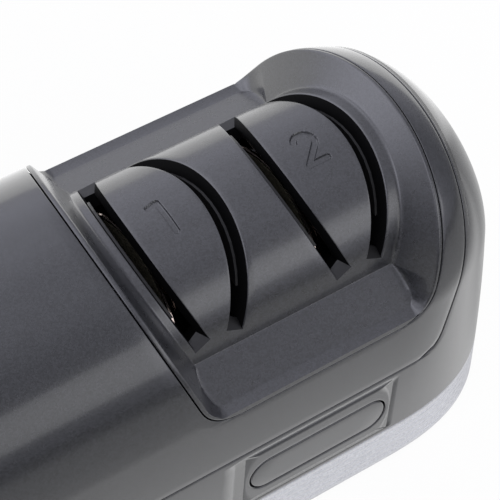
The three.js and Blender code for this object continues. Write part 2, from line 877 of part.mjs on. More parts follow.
// Rubber foot, pushed through the base plate and held by its barbed stem

function footProfile() {
  const padTop = bodyBottom + footRecess - runningGap;
  const barb = footStemRadius + 2 * runningGap + footChamfer;
  const barbStart = plateTop + runningGap;
  return [
    [0, 0], [footRadius - footChamfer, 0], [footRadius, footChamfer], [footRadius, padTop],
    [footStemRadius, padTop], [footStemRadius, barbStart], [barb, barbStart],
    [footStemRadius, barbStart + footBarbHeight], [0, barbStart + footBarbHeight],
  ];
}

function screwProfile() {
  const headStart = bodyBottom + screwSink;
  const headEnd = bodyBottom + screwHeadHeight - runningGap;
  return [
    [0, headStart], [screwHead, headStart], [screwHead, headEnd], [screwShank, headEnd],
    [screwShank, headEnd + screwLength], [0, headEnd + screwLength + screwShank],
  ];
}

// Guide plates: leaning half-moon plates under the hump, on the outer side of each slot.
// They end above the wheels.

const underCover = bodyForm(coverWall + runningGap, bodyBottom, 3);

function makeGuidePlate(stageX, side) {
  const inset = half(slotWidth - slotThroat);
  const outlineAt = (rise) => slotEdges(rise)[1] - inset;
  const top = humpRadius;
  const bottom = guidePlateBottom;
  const section = polygon([
    [stageX + side * outlineAt(bottom), humpAxisHeight + bottom],
    [stageX + side * outlineAt(top), humpAxisHeight + top],
    [stageX + side * (outlineAt(top) + guidePlateThickness), humpAxisHeight + top],
    [stageX + side * (outlineAt(bottom) + guidePlateThickness), humpAxisHeight + bottom],
  ]);
  const underHump = turned(discProfile(humpRadius - coverWall - runningGap, -farX, farX),
    2 * wheelSteps).translate(0, 0, humpAxisHeight);
  return toSolid(plateAlongY(section, -humpRadius, humpRadius)).intersect(toSolid(underHump))
    .intersect(underCover);
}

// Grinding wheels: a plate with a hub towards its twin and a rim lip round its grit.
// Profiles are [radius, distance from the middle of the stage].

const wheelBore = shaftRadius + runningGap;
const wheelBack = wheelFace - wheelThickness;

function wheelProfile() {
  const recess = wheelFace - gritThickness;
  return [
    [wheelBore, wheelBack - wheelHubReach], [wheelHubRadius, wheelBack - wheelHubReach],
    [wheelHubRadius, wheelBack], [wheelRadius - wheelBevel, wheelBack],
    [wheelRadius, wheelBack + wheelBevel], [wheelRadius, wheelFace],
    [wheelRadius - wheelRimWidth, wheelFace], [wheelRadius - wheelRimWidth, recess],
    [gritInnerRadius, recess], [gritInnerRadius, wheelFace], [wheelBore, wheelFace],
    [wheelBore, wheelBack - wheelHubReach],
  ];
}

function gritProfile() {
  return ringProfile(
    gritInnerRadius + runningGap, wheelRadius - wheelRimWidth - runningGap,
    wheelFace - gritThickness, wheelFace - gritSink);
}

function clipProfile() {
  const start = wheelFace + runningGap;
  return ringProfile(wheelBore, clipRadius, start, start + clipWidth);
}

function onSpindle(profile, stageX, side, steps) {
  const placed = profile.map(([radius, along]) => [radius, stageX + side * along]);
  return turned(side > 0 ? placed : placed.toReversed(), steps).translate(0, 0, spindleHeight);
}

// Springs: a round wire on a helix round each wheel's hub, between the wheel and the
// collar in the middle of the stage.
class Helix extends THREE.Curve {
  constructor(radius, start, end, turns) {
    super();
    this.radius = radius;
    this.start = start;
    this.end = end;
    this.turns = turns;
  }

  getPoint(t, target = new THREE.Vector3()) {
    const angle = 2 * Math.PI * this.turns * t;
    return target.set(this.start + (this.end - this.start) * t,
      this.radius * Math.cos(angle), this.radius * Math.sin(angle));
  }
}

function springPath(side) {
  const clear = runningGap + half(springWire);
  return new Helix(springMeanRadius, side * (half(collarWidth) + clear),
    side * (wheelBack - clear), springTurns);
}

function makeSpring(stageX, side) {
  const wire = [];
  for (let i = 0; i < springSides; i += 1) {
    const angle = 2 * Math.PI * i / springSides;
    wire.push([half(springWire) * Math.cos(angle), half(springWire) * Math.sin(angle)]);
  }
  const geometry = new THREE.ExtrudeGeometry(polygon(wire), {
    steps: springTurns * springCurlSteps,
    bevelEnabled: false,
    extrudePath: springPath(side),
  });
  return geometry.translate(stageX, 0, spindleHeight);
}

// Clear distance between neighbouring turns, measured between points of the wire.
function leastSpringGap() {
  const places = springPath(1).getPoints(springTurns * springCurlSteps);
  let least = Infinity;
  places.forEach((a, i) => places.slice(i + springCurlSteps - 1).forEach((b) => {
    least = Math.min(least, a.distanceTo(b) - springWire);
  }));
  return least;
}

// Bearing post: a plate with a round head, splayed to a foot, with a lightening window

function makePost() {
  const foot = plateTop + runningGap;
  const headShare = 0.5;
  const shape = new THREE.Shape();
  shape.moveTo(-postFootHalf, foot);
  shape.lineTo(postFootHalf, foot);
  shape.lineTo(postFootHalf, foot + postThickness);
  shape.absarc(0, spindleHeight, postHeadRadius, -Math.PI * headShare / 4,
    Math.PI * (1 + headShare / 4), false);
  shape.lineTo(-postFootHalf, foot + postThickness);
  shape.closePath();
  const bore = new THREE.Path().absarc(0, spindleHeight, bushRadius + runningGap, 0, 2 * Math.PI);
  shape.holes.push(bore);
  const windowBase = foot + 2 * postThickness;
  const windowTop = spindleHeight - postHeadRadius - postThickness;
  const windowHalf = postFootHalf - 2 * postThickness;
  const window = new THREE.Path();
  window.moveTo(-windowHalf, windowBase);
  window.lineTo(windowHalf, windowBase);
  window.lineTo(half(windowHalf), windowTop);
  window.lineTo(-half(windowHalf), windowTop);
  window.closePath();
  shape.holes.push(window);
  return shape;
}

function addBearing(name, x) {
  const shape = makePost();
  addPiece(`${name}_post`, plateAlongX(shape, x - half(postThickness), x + half(postThickness)),
    'steel');
  const ends = [x - half(bushLength), x + half(bushLength)];
  const bush = [
    [wheelBore, ends[0]], [bushRadius, ends[0]], [bushRadius, ends[1]],
    [wheelBore, ends[1]], [wheelBore, ends[0]],
  ];
  addPiece(`${name}_bush`, turned(bush, smallSteps).translate(0, 0, spindleHeight), 'bronze');
}

// Motor: a can with a front nose, an end cap and two cradles

const rearCradleX = motorLeft + cradleInset;
const frontCradleX = motorRight - cradleInset - cradleThickness;

function addMotor() {
  const bore = shaftRadius + runningGap;
  const nose = motorRight + motorNoseLength;
  const can = [
    [bore, motorLeft], [motorRadius, motorLeft], [motorRadius, motorRight - motorChamfer],
    [motorRadius - motorChamfer, motorRight], [motorNoseRadius, motorRight],
    [motorNoseRadius, nose], [bore, nose], [bore, motorLeft],
  ];
  addPiece('motor_can', turned(can, wheelSteps).translate(0, 0, spindleHeight), 'steel');
  const capRight = motorLeft - runningGap;
  const capLeft = capRight - motorCapLength;
  const cap = [
    [bore, capLeft], [half(motorRadius), capLeft],
    [motorRadius - motorChamfer, capLeft + 2 * motorChamfer],
    [motorRadius, capRight], [bore, capRight], [bore, capLeft],
  ];
  addPiece('motor_end_cap', turned(cap, wheelSteps).translate(0, 0, spindleHeight), 'black');
  addPiece('motor_cradle_rear', makeCradle(rearCradleX), 'greyPlastic');
  addPiece('motor_cradle_front', makeCradle(frontCradleX), 'greyPlastic');
}

function makeCradle(x) {
  const foot = plateTop + runningGap;
  const radius = motorRadius + runningGap;
  const edgeAngle = rad(cradleGripDegrees);
  const halfWidth = radius * Math.cos(edgeAngle) + cradleHorn;
  const shape = new THREE.Shape();
  shape.moveTo(-halfWidth, foot);
  shape.lineTo(halfWidth, foot);
  shape.lineTo(halfWidth, spindleHeight - radius * Math.sin(edgeAngle));
  shape.absarc(0, spindleHeight, radius, -edgeAngle, -Math.PI + edgeAngle, true);
  shape.lineTo(-halfWidth, spindleHeight - radius * Math.sin(edgeAngle));
  shape.closePath();
  const room = spindleHeight - radius - foot;
  const window = new THREE.Path().absarc(0, foot + half(room), half(half(room)), 0, 2 * Math.PI);
  shape.holes.push(window);
  return plateAlongX(shape, x, x + cradleThickness);
}

function makeFan() {
  const right = motorLeft - runningGap - motorCapLength - fanGap;
  const left = right - fanWidth;
  const middle = half(left + right);
  const hub = [
    [wheelBore, left], [fanHubRadius, left], [fanHubRadius, right], [wheelBore, right],
    [wheelBore, left],
  ];
  let fan = toSolid(turned(hub, smallSteps));
  const bladeFoot = half(fanHubRadius + wheelBore);
  for (let i = 0; i < fanBlades; i += 1) {
    const blade = new THREE.BoxGeometry(fanWidth, fanBladeThickness, fanRadius - bladeFoot)
      .rotateZ(rad(fanTwistDegrees))
      .translate(middle, 0, half(fanRadius + bladeFoot))
      .rotateX(2 * Math.PI * i / fanBlades);
    fan = fan.add(toSolid(blade));
  }
  return fan.translate([0, 0, spindleHeight]);
}

function makeShafts() {
  const fanLeft = motorLeft - runningGap - motorCapLength - fanGap - fanWidth;
  const motorEnd = shaftJoinX - runningGap;
  const driveEnd = postRightX + half(bushLength) + shaftStub;
  return {
    motorShaft: discProfile(shaftRadius, fanLeft - shaftStub, motorEnd),
    driveShaft: discProfile(shaftRadius, shaftJoinX, driveEnd),
  };
}

// Circuit board on four pegs, with a capacitor

function addBoard() {
  const x = half(rearCradleX + cradleThickness + frontCradleX);
  const boardLength = frontCradleX - rearCradleX - cradleThickness - 2 * boardGap;
  const foot = plateTop + runningGap;
  let board = toSolid(box(x - half(boardLength), x + half(boardLength),
    -half(boardWidth), half(boardWidth), boardHeight, boardHeight + boardThickness));
  for (const dx of [-1, 1]) {
    for (const dy of [-1, 1]) {
      const peg = upright(discProfile(boardPegRadius, foot, boardHeight + half(boardThickness)),
        holeSteps);
      board = board.add(toSolid(peg.translate(
        x + dx * (half(boardLength) - 2 * boardPegRadius),
        dy * (half(boardWidth) - 2 * boardPegRadius), 0)));
    }
  }
  addPiece('circuit_board', board, 'board');
  const top = boardHeight + boardThickness + runningGap;
  addPiece('suppressor_capacitor', box(x - half(capacitorLength), x + half(capacitorLength),
    half(boardWidth) - capacitorWidth, half(boardWidth), top, top + capacitorHeight), 'amber');
}

// Rocker switch, square to the front wall: X along the wall, Y into the body

function addSwitch() {
  const place = frontWallPlace();
  const [dx, dz] = [half(switchLength), half(switchWidth)];
  const front = -bezelProud - runningGap;
  const barrel = toSolid(box(-dx, dx, front, switchDepth, -dz, dz));
  const rim = toSolid(box(-dx - bezelRim, dx + bezelRim, front, -runningGap,
    -dz - bezelRim, dz + bezelRim));
  const well = toSolid(box(-dx + switchWall, dx - switchWall, front - cutOverrun, half(switchDepth),
    -dz + switchWall, dz - switchWall));
  const housing = toGeometry(barrel.add(rim).subtract(well));
  addPiece('switch_housing', housing.translate(switchX, 0, 0).applyMatrix4(place), 'black');
  const reach = dx - switchWall - 3 * runningGap;
  const crown = front - rockerRise;
  const outline = polygon([
    [-reach, crown], [0, crown + rockerSlope / 2], [reach, crown],
    [reach - half(rockerSlope), rockerPivotDepth], [0, 2 * rockerPivotDepth],
    [-reach + half(rockerSlope), rockerPivotDepth],
  ]);
  const depth = dz - switchWall - runningGap;
  const rocker = plateAlongZ(outline, -depth, depth)
    .translate(0, -rockerPivotDepth, 0)
    .rotateZ(rad(-rockerThrowDegrees))
    .translate(switchX, rockerPivotDepth, 0)
    .applyMatrix4(place);
  addPiece('switch_rocker', rocker, 'black');
}

// Cord inlet on the back: a bush whose flange is cut to the slope of the wall

function makeCordInlet() {
  const wall = halfWidthAt(inletHeight);
  const flange = toSolid(barAlongY(inletX, inletHeight, inletRadius + inletRim, wall - inletDepth,
    wall + inletFlange, smallSteps)).subtract(bodyForm(-runningGap, bodyBottom, 3));
  const stem = toSolid(barAlongY(inletX, inletHeight, inletRadius, wall - inletDepth,
    wall + inletFlange, smallSteps));
  const bore = toSolid(barAlongY(inletX, inletHeight, inletBore, 0, farY, smallSteps));
  return flange.add(stem).subtract(bore);
}

// Filings tray: an open box whose face is a slice of the back wall, on two runners. Its
// walls keep clear of the wheels.

function makeTray() {
  const outside = toSolid(box(trayLeft, trayRight, -trayReach, farY, trayFloor, trayTop));
  const inside = toSolid(box(trayLeft + trayWall, trayRight - trayWall, -trayReach + trayWall,
    farY, trayFloor + trayWall, skyHeight));
  const underWheels = toSolid(turned(discProfile(wheelRadius + trayWheelGap,
    trayLeft - cutOverrun, trayRight + cutOverrun), wheelSteps).translate(0, 0, spindleHeight));
  const middle = half(trayLeft + trayRight);
  const wall = halfWidthAt(half(trayFloor + trayTop));
  const pull = toSolid(box(middle - trayPull, middle + trayPull, wall - half(shellWall),
    wall + trayPullDepth, half(trayFloor + trayTop) - half(trayPullHeight),
    half(trayFloor + trayTop) - half(trayPullHeight) + shellWall));
  return bodyOuter.intersect(outside).subtract(bodyInner.intersect(inside))
    .subtract(underWheels).add(pull);
}

function makeRunner(side) {
  const edge = side < 0 ? trayLeft - runningGap : trayRight + runningGap;
  const foot = plateTop + runningGap;
  const top = trayFloor - runningGap;
  const lip = runnerLip;
  const section = [
    [edge + side * lip, foot], [edge - side * (runnerFlange - lip), foot],
    [edge - side * (runnerFlange - lip), foot + lip], [edge - side * (runnerWidth - lip), foot + lip],
    [edge - side * (runnerWidth - lip), top], [edge, top],
    [edge, top + runnerWidth], [edge + side * lip, top + runnerWidth],
  ];
  const shape = polygon(side < 0 ? section : section.toReversed());
  return plateAlongY(shape, -trayReach, trayReach);
}

// Assembly

addPiece('guide_cover', makeGuideCover(), 'cover');
addPiece('upper_housing', makeUpperHousing(), 'housing');
addPiece('lower_housing', makeLowerHousing(), 'housing');
addPiece('base_band', makeBaseBand(), 'band');
addPiece('base_plate', makeBasePlate(), 'greyPlastic');
addPiece('badge_plate', makeBadgePlate(), 'housing');

let corner = 0;
for (const x of [-1, 1]) {
  for (const y of [-1, 1]) {
    corner += 1;
    addPiece(`foot_${corner}`, upright(footProfile(), smallSteps).translate(x * footX, y * footY, 0),
      'rubber');
    addPiece(`base_screw_${corner}`, upright(screwProfile(), holeSteps)
      .translate(x * bossX, y * bossY, 0), 'steel');
  }
}

stages.forEach((stageX, i) => {
  for (const [hand, side] of [['left', -1], ['right', 1]]) {
    const label = `${i + 1}_${hand}`;
    addPiece(`guide_plate_${label}`, makeGuidePlate(stageX, side), 'black');
    addPiece(`wheel_${label}`, onSpindle(wheelProfile(), stageX, side, wheelSteps), 'copper');
    addPiece(`grit_ring_${label}`, onSpindle(gritProfile(), stageX, side, wheelSteps), 'grit');
    addPiece(`clip_${label}`, onSpindle(clipProfile(), stageX, side, smallSteps), 'steel');
    addPiece(`spring_${label}`, makeSpring(stageX, side), 'steel');
  }
  const collar = ringProfile(wheelBore, collarRadius, -half(collarWidth), half(collarWidth));
  addPiece(`collar_${i + 1}`, onSpindle(collar, stageX, 1, smallSteps), 'steel');
});
console.log(`least gap between spring turns ${leastSpringGap().toFixed(2)} mm`);

const shafts = makeShafts();
addPiece('drive_shaft', turned(shafts.driveShaft, smallSteps).translate(0, 0, spindleHeight), 'steel');
addPiece('motor_shaft', turned(shafts.motorShaft, smallSteps).translate(0, 0, spindleHeight), 'steel');
const couplingProfile = ringProfile(wheelBore, couplingRadius,
  shaftJoinX - half(couplingLength), shaftJoinX + half(couplingLength));
addPiece('shaft_coupling', turned(couplingProfile, smallSteps).translate(0, 0, spindleHeight),
  'black');
addPiece('cooling_fan', makeFan(), 'black');
addBearing('left', postLeftX);
addBearing('right', postRightX);
addMotor();
addBoard();
addSwitch();
addPiece('cord_inlet', makeCordInlet(), 'black');
addPiece('filings_tray', makeTray(), 'greyPlastic');
addPiece('tray_runner_left', makeRunner(-1), 'greyPlastic');
addPiece('tray_runner_right', makeRunner(1), 'greyPlastic');

export default part;
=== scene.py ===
"""Looks of an electric knife sharpener with two slotted grinding stages.

Lengths are in millimetres until a mesh is made, and then in metres. X runs along the body
with the stages towards +X, the front is -Y, and the table is at z = 0.
"""

import json
import math

import bmesh
import bpy
import numpy as np
from mathutils import Matrix, Vector


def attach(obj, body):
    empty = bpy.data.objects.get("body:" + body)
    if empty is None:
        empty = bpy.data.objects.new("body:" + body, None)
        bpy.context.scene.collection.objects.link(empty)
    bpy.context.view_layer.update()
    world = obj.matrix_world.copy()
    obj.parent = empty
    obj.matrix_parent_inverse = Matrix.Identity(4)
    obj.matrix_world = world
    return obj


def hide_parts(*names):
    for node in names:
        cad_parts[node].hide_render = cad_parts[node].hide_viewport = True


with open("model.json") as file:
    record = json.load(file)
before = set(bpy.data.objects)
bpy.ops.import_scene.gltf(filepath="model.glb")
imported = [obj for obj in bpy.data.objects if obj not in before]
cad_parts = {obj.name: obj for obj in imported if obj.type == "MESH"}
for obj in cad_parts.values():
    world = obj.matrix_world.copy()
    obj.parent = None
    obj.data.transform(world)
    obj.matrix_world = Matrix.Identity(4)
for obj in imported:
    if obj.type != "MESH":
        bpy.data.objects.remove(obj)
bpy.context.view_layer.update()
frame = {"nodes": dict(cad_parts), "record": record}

MM = 0.001

# Driving dimensions of the body, as in the solids
STRAIGHT_END = 60.5  # where the straight middle ends and the round ends begin
DOME_REACH = 37.3  # reach of the round ends at the shoulder
SKIRT_REACH_GAIN = 7.7  # what that reach gains down to the foot
SKIRT_BULGE = 0.4  # share of the gain by which the ends bulge on the way down
END_POWER = 2.67  # power of the ends' superellipse
BARREL_RADIUS = 36.3
BARREL_AXIS = 49.1
SKIRT_LEAN = math.radians(8.53)
BODY_BOTTOM = 2.0
BAND_TOP = 14.6
UPPER_WALL = 1.6
LOWER_WALL = 1.4

# Gaps between the pieces, as they show
SEAM_GAP = 0.28
VALLEY_GAP = 0.25
RUNNING_GAP = 0.3

SHOULDER = BARREL_AXIS + BARREL_RADIUS * math.sin(SKIRT_LEAN)
SHOULDER_HALF = BARREL_RADIUS * math.cos(SKIRT_LEAN)
SKY = BARREL_AXIS + BARREL_RADIUS + 8  # a height over the whole body

# Hump and slots. A slot's mouth is rounded, its sides flare down to a throat, and its ends
# are ramps.
HUMP_RADIUS = 25.0
HUMP_AXIS = 53.4
STAGES = (19.25, 55.8)
SLOT_LEAN = math.tan(math.radians(24.2))
SLOT_WIDTH = 4.34
SLOT_NECK = 2.54
SLOT_END = math.radians(65)
SLOT_SLANT = math.radians(4)
SLOT_RAMP = math.radians(4.35)
SLOT_FLARE_DEPTH = 2.1
SLOT_DEPTH = 4.9
SLOT_FLARES = dict(inner=1.5, outer=0.15)
FLARE_SHARES = ((0.43, 0.36), (0.94, 0.93), (1.06, 1.0), (2.0, 1.0))  # shares of depth and of flare
MOUTH_ROUND = 0.22
MOUTH_STEPS = 5

# Ledge at the hump's foot, slope, walls of the valley and lip at its rim
LEDGE_RISE = 6.0
LEDGE_WIDTH = 2.1
LEDGE_DEPTH = 0.4
LEDGE_ROUND = 0.3
RING_WIDENING = 0.9  # extra width of the ring right of stage 2
RING_WIDENING_GAIN = 1.1  # what that gains down to the ledge
LIP_RISE = -1.0
COVER_LIP = 1.0
LIP_ROUND = 0.35
FOOT_ROUND = 0.6  # rounding where the walls meet the floor
FOOT_ROUND_GAIN = 1.4  # what that gains along the first part of the right crease
FOOT_ROUND_RATE = 4  # the gain is complete after a fourth of the slope
FOOT_ROUND_LIMIT = 0.3  # share of the wall's height that it never passes
LEFT_CREASE_END = 1.4  # room between the left crease's end and the lip
LEFT_CREASE_POWER = 1.1
NARROWING_START = 8.0  # how far before the round end the slope begins to follow the body
LEAST_WALL_HEIGHT = 0.1
LEAST_WALL_LEFT = 0.6
LEAST_WALL_RIGHT = 0.4

# Valley and seam, seen from the side
VALLEY_LEFT_X = 10.1
VALLEY_LEFT_LEAN = math.tan(math.radians(21.6))
VALLEY_RIGHT_X = 67.6
VALLEY_RIGHT_LEAN = math.tan(math.radians(17.2))
VALLEY_CORNER = 8.0
SEAM_HEIGHT = 36.3
SEAM_END_X = 76.6
SEAM_LEAN = math.tan(math.radians(13.8))
SEAM_CORNER = 6.0
PAST_LEFT_END = 150.0

# Badge, switch, inlet and tray: middle, length, width and corner as seen from the side
BADGE = dict(x=40.4, z=24.6, length=36.8, width=9.4)
BADGE_GAP = 0.35
BADGE_POCKET = 1.3
BADGE_THICKNESS = 1.0
BADGE_ROUND = 0.4
SWITCH = dict(x=-42.0, z=26.6, length=21.6, width=13.6, corner=0.8)
INLET = dict(x=-50.0, z=25.0, radius=6.7)
TRAY = dict(x=37.5, z=24.45, length=50.6, width=14.2, corner=1.0)
OPENING_DEPTH = 2.4

EDGE_ROUND = 0.3

# Passes after which repeated substitution and halving change nothing more
SUBSTITUTIONS = 12
BORDER_SUBSTITUTIONS = 16
HALVINGS = 34


# Body form

def reach_at(z):
    """Reach of the ends past the straight middle: a line above the shoulder, which goes
    on below it and bulges by the square of the depth."""
    share = (SHOULDER - z) / (SHOULDER - BODY_BOTTOM)
    bulge = np.where(share > 0, SKIRT_BULGE * share**2, 0)
    return DOME_REACH + SKIRT_REACH_GAIN * ((1 + SKIRT_BULGE) * share - bulge)


def half_width_at(z):
    """Half width of the skirt: a line from the shoulder to the foot."""
    return SHOULDER_HALF + (SHOULDER - z) * math.tan(SKIRT_LEAN)


def width_share(x, z):
    """Share of the full width at x, from the superellipse of the ends."""
    out = np.clip((np.abs(x) - STRAIGHT_END) / reach_at(z), 0, 1)
    return (1 - out**END_POWER) ** (1 / END_POWER)


class Section:
    """Full cross-section of the body as rows from one foot of the skirt over the arch to
    the other. A skirt row is a height and an arch row an angle round the barrel."""

    def __init__(self, skirt_front, arch_angles, skirt_back):
        """Puts the three runs of rows one after another."""
        self.side = np.concatenate([
            -np.ones(len(skirt_front)), np.zeros(len(arch_angles)), np.ones(len(skirt_back))])
        self.value = np.concatenate([skirt_front, arch_angles, skirt_back])

    def full(self, inset):
        """Places (y, z) of the rows at full width, drawn in by an inset."""
        radius = BARREL_RADIUS - inset
        skirt = self.side != 0
        z = np.where(skirt, self.value, BARREL_AXIS + radius * np.sin(self.value))
        y_arch = -radius * np.cos(self.value)
        y_skirt = self.side * (half_width_at(self.value) - inset)
        return np.where(skirt, y_skirt, y_arch), z


def height_of(z_full, share):
    """Height of a row: rows above the shoulder come down to it as the end narrows."""
    return np.where(z_full > SHOULDER, SHOULDER + (z_full - SHOULDER) * share, z_full)


def share_at(x, z_full):
    """Width share and height of rows at given x, found by repeated substitution."""
    z = z_full + 0 * x
    for _ in range(SUBSTITUTIONS):
        share = width_share(x, z)
        z = height_of(z_full, share)
    return share, z


def body_grid(section, share, side):
    """Points of the outer surface and of the same surface drawn in by 1 mm. share is the
    width share of each point, and side is -1 or 1 for the ends, or 0 where x is given."""
    out = []
    for inset in (0.0, 1.0):
        y, z_full = (a[:, None] for a in section.full(inset))
        z = height_of(z_full, share)
        reach_share = np.maximum(0, 1 - share**END_POWER) ** (1 / END_POWER)
        x = side * (STRAIGHT_END + (reach_at(z) - inset) * reach_share)
        out.append(np.stack([x, y * share, z], -1))
    return out


def turn_to_share(turn):
    """Width share at a turn along the superellipse, from 0 at the tip."""
    return np.sin(turn) ** (2 / END_POWER)


# Outlines seen from the side

def rounded(points, reaches, steps=14):
    """Polyline whose corners are quadratic curves over a reach along both edges."""
    points = [np.array(p, float) for p in points]
    out = [points[0]]
    for before, corner, after, reach in zip(points, points[1:], points[2:], reaches):
        a = corner + (before - corner) / np.linalg.norm(before - corner) * reach
        b = corner + (after - corner) / np.linalg.norm(after - corner) * reach
        t = np.linspace(0, 1, steps + 1)[:, None]
        out.extend((1 - t) ** 2 * a + 2 * t * (1 - t) * corner + t**2 * b)
    out.append(points[-1])
    return np.array(out)


def valley_line(inset):
    """Valley outline from the sky down its left side, along its floor and up its right."""
    floor = HUMP_AXIS + LIP_RISE + inset

    left = [(VALLEY_LEFT_X + inset - VALLEY_LEFT_LEAN * (z - HUMP_AXIS), z) for z in (SKY, floor)]
    right = [(VALLEY_RIGHT_X - inset + VALLEY_RIGHT_LEAN * (z - HUMP_AXIS), z) for z in (floor, SKY)]
    return rounded(left + right, [VALLEY_CORNER, VALLEY_CORNER])


def seam_line(inset):
    """Seam outline from the sky down the right end and along to the left."""
    top = SEAM_HEIGHT - inset
    end = [(SEAM_END_X + inset + SEAM_LEAN * (z - HUMP_AXIS), z) for z in (SKY, top)]
    return rounded(end + [(-PAST_LEFT_END, top)], [SEAM_CORNER])


def x_on(line, z, branch):
    """x of an outline's left or right branch at a height."""
    middle = np.argmin(line[:, 1] + 1e-9 * np.arange(len(line)))
    part = line[:middle + 1][::-1] if branch == "left" else line[middle:]
    if branch == "right":
        lowest = line[:, 1].min()
        part = line[np.nonzero(line[:, 1] <= lowest + 1e-9)[0][-1]:]
    return np.interp(z, part[:, 1], part[:, 0])


def distance_to(line, x, z):
    """Least distance from points (x, z) to a polyline."""
    best = np.full(x.shape, 1e9)
    for (ax, az), (bx, bz) in zip(line, line[1:]):
        dx, dz = bx - ax, bz - az
        t = np.clip(((x - ax) * dx + (z - az) * dz) / max(dx * dx + dz * dz, 1e-12), 0, 1)
        best = np.minimum(best, np.hypot(x - ax - t * dx, z - az - t * dz))
    return best


def round_drop(distance, radius=EDGE_ROUND):
    """Depth of a rounded edge at a distance in from it: a quarter circle."""
    inward = np.clip(radius - distance, 0, radius)
    return radius - np.sqrt(radius**2 - inward**2)


# Places of the rings over a rounded edge, as shares of its radius and in millimetres
EDGE_SHARES = np.array([0, 0.07, 0.22, 0.45, 0.72, 1.0])
EDGE_STEPS = EDGE_ROUND * EDGE_SHARES


# Meshes

def make_piece(name, points, faces, slot, replaces=(), body="housing", angle=35.0):
    """Mesh from points in millimetres and faces, with unused and doubled points removed.
    Edges that turn by more than the angle stay sharp."""
    points = np.asarray(points, float).reshape(-1, 3)
    faces = [tuple(f) for f in faces]
    mesh = bpy.data.meshes.new(name)
    used = np.zeros(len(points), bool)
    used[np.array([i for f in faces for i in f])] = True
    order = np.cumsum(used) - 1
    mesh.from_pydata((points[used] * MM).tolist(), [], [[int(order[i]) for i in f] for f in faces])
    obj = bpy.data.objects.new(name, mesh)
    bpy.context.scene.collection.objects.link(obj)
    weld(mesh)
    mesh.shade_smooth()
    mesh.set_sharp_from_angle(angle=math.radians(angle))
    for node in replaces:
        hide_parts(node)
    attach(obj, body)
    return obj


WELD_REACH = 2e-6


def weld(mesh):
    """Merges doubled points and drops faces without area."""
    work = bmesh.new()
    work.from_mesh(mesh)
    bmesh.ops.remove_doubles(work, verts=work.verts, dist=WELD_REACH)
    bmesh.ops.dissolve_degenerate(work, edges=work.edges, dist=WELD_REACH)
    work.to_mesh(mesh)
    work.free()


def face_outwards(mesh):
    """Turns all faces of a welded mesh to its outer side."""
    work = bmesh.new()
    work.from_mesh(mesh)
    bmesh.ops.recalc_face_normals(work, faces=work.faces)
    work.to_mesh(mesh)
    work.free()


def grid_faces(rows, columns, first=0, keep=None, loop=False, flip=False):
    """Quads of a grid of points, kept where keep is true, joined round if loop."""
    last = columns if loop else columns - 1
    r, c = np.meshgrid(np.arange(rows - 1), np.arange(last), indexing="ij")
    if keep is not None:
        r, c = r[keep], c[keep]
    a = first + r * columns + c
    b = first + r * columns + (c + 1) % columns
    faces = np.stack([a, b, b + columns, a + columns], -1).reshape(-1, 4)
    return (faces[:, ::-1] if flip else faces).tolist()


def solidify(obj, thickness):
    """Gives a skin its wall, inwards."""
    wall = obj.modifiers.new("wall", "SOLIDIFY")
    wall.thickness = thickness * MM
    wall.offset = -1
    wall.use_rim = True
    return obj


def spread(start, end, count):
    """Even places from start to end, without the first."""
    return np.linspace(start, end, count + 1)[1:]


def lathe(name, profile, steps, centre, **kinds):
    """Closed profile of (radius r, place along) turned round an axis along X: at a turn t
    its points lie at (along, r cos t, r sin t) from the centre."""
    profile = np.array(profile, float)
    turn = np.linspace(0, 2 * math.pi, steps, endpoint=False)
    radius, along = profile[:, 0][:, None], profile[:, 1][:, None] + 0 * turn
    points = np.stack([along, radius * np.cos(turn), radius * np.sin(turn)], -1) + np.array(centre)
    faces = grid_faces(len(profile), steps, loop=True)
    obj = make_piece(name, points, faces, **kinds)
    face_outwards(obj.data)
    return obj


# Housings

ARCH_HALF = np.linspace(SKIRT_LEAN, math.pi / 2, 44)
ARCH = np.concatenate([ARCH_HALF, math.pi - ARCH_HALF[::-1][1:]])
TIP_TURNS = 34
TIP_CROWDING = 1.45

# Rows of the shells past the valley's floor and past the seam, closer together at the edge
ROWS_PAST_FLOOR = np.array([0.01, 0.04, 0.1, 0.2, 0.35, 0.55, 0.8, 1.1, 1.5])
ROWS_PAST_SEAM = np.array([0.02, 0.08, 0.2, 0.4, 0.7, 1.1, 1.7, 2.5, 3.6, 5, 7, 9.5, 12.5, 15.5])


def left_end_share():
    """Width shares of the left end's columns from its tip on, closer together there."""
    return turn_to_share(math.pi / 2 * np.linspace(0, 1, TIP_TURNS) ** TIP_CROWDING)


def shell_points(section, x, share, ends, outlines, low=-math.inf):
    """Points of a shell whose columns lie at x between its ends. Each is its row's place at
    full width times the width share. Near the outlines, and near a lower edge, the points
    go in towards the same surface drawn in by 1 mm, by a quarter circle."""
    surfaces = []
    for i, inset in enumerate((0.0, 1.0)):
        y, z_full = (a[:, None] for a in section.full(inset))
        grid = np.stack([x, y * share, height_of(z_full, share)], -1)
        surfaces.append(np.concatenate([ends[0][i], grid] + [end[i] for end in ends[1:]], 1))
    outer, drawn_in = surfaces
    near = np.abs(outer[..., 2] - low)
    for outline in outlines:
        near = np.minimum(near, distance_to(outline, outer[..., 0], outer[..., 2]))
    return outer + (drawn_in - outer) * round_drop(near)[..., None]


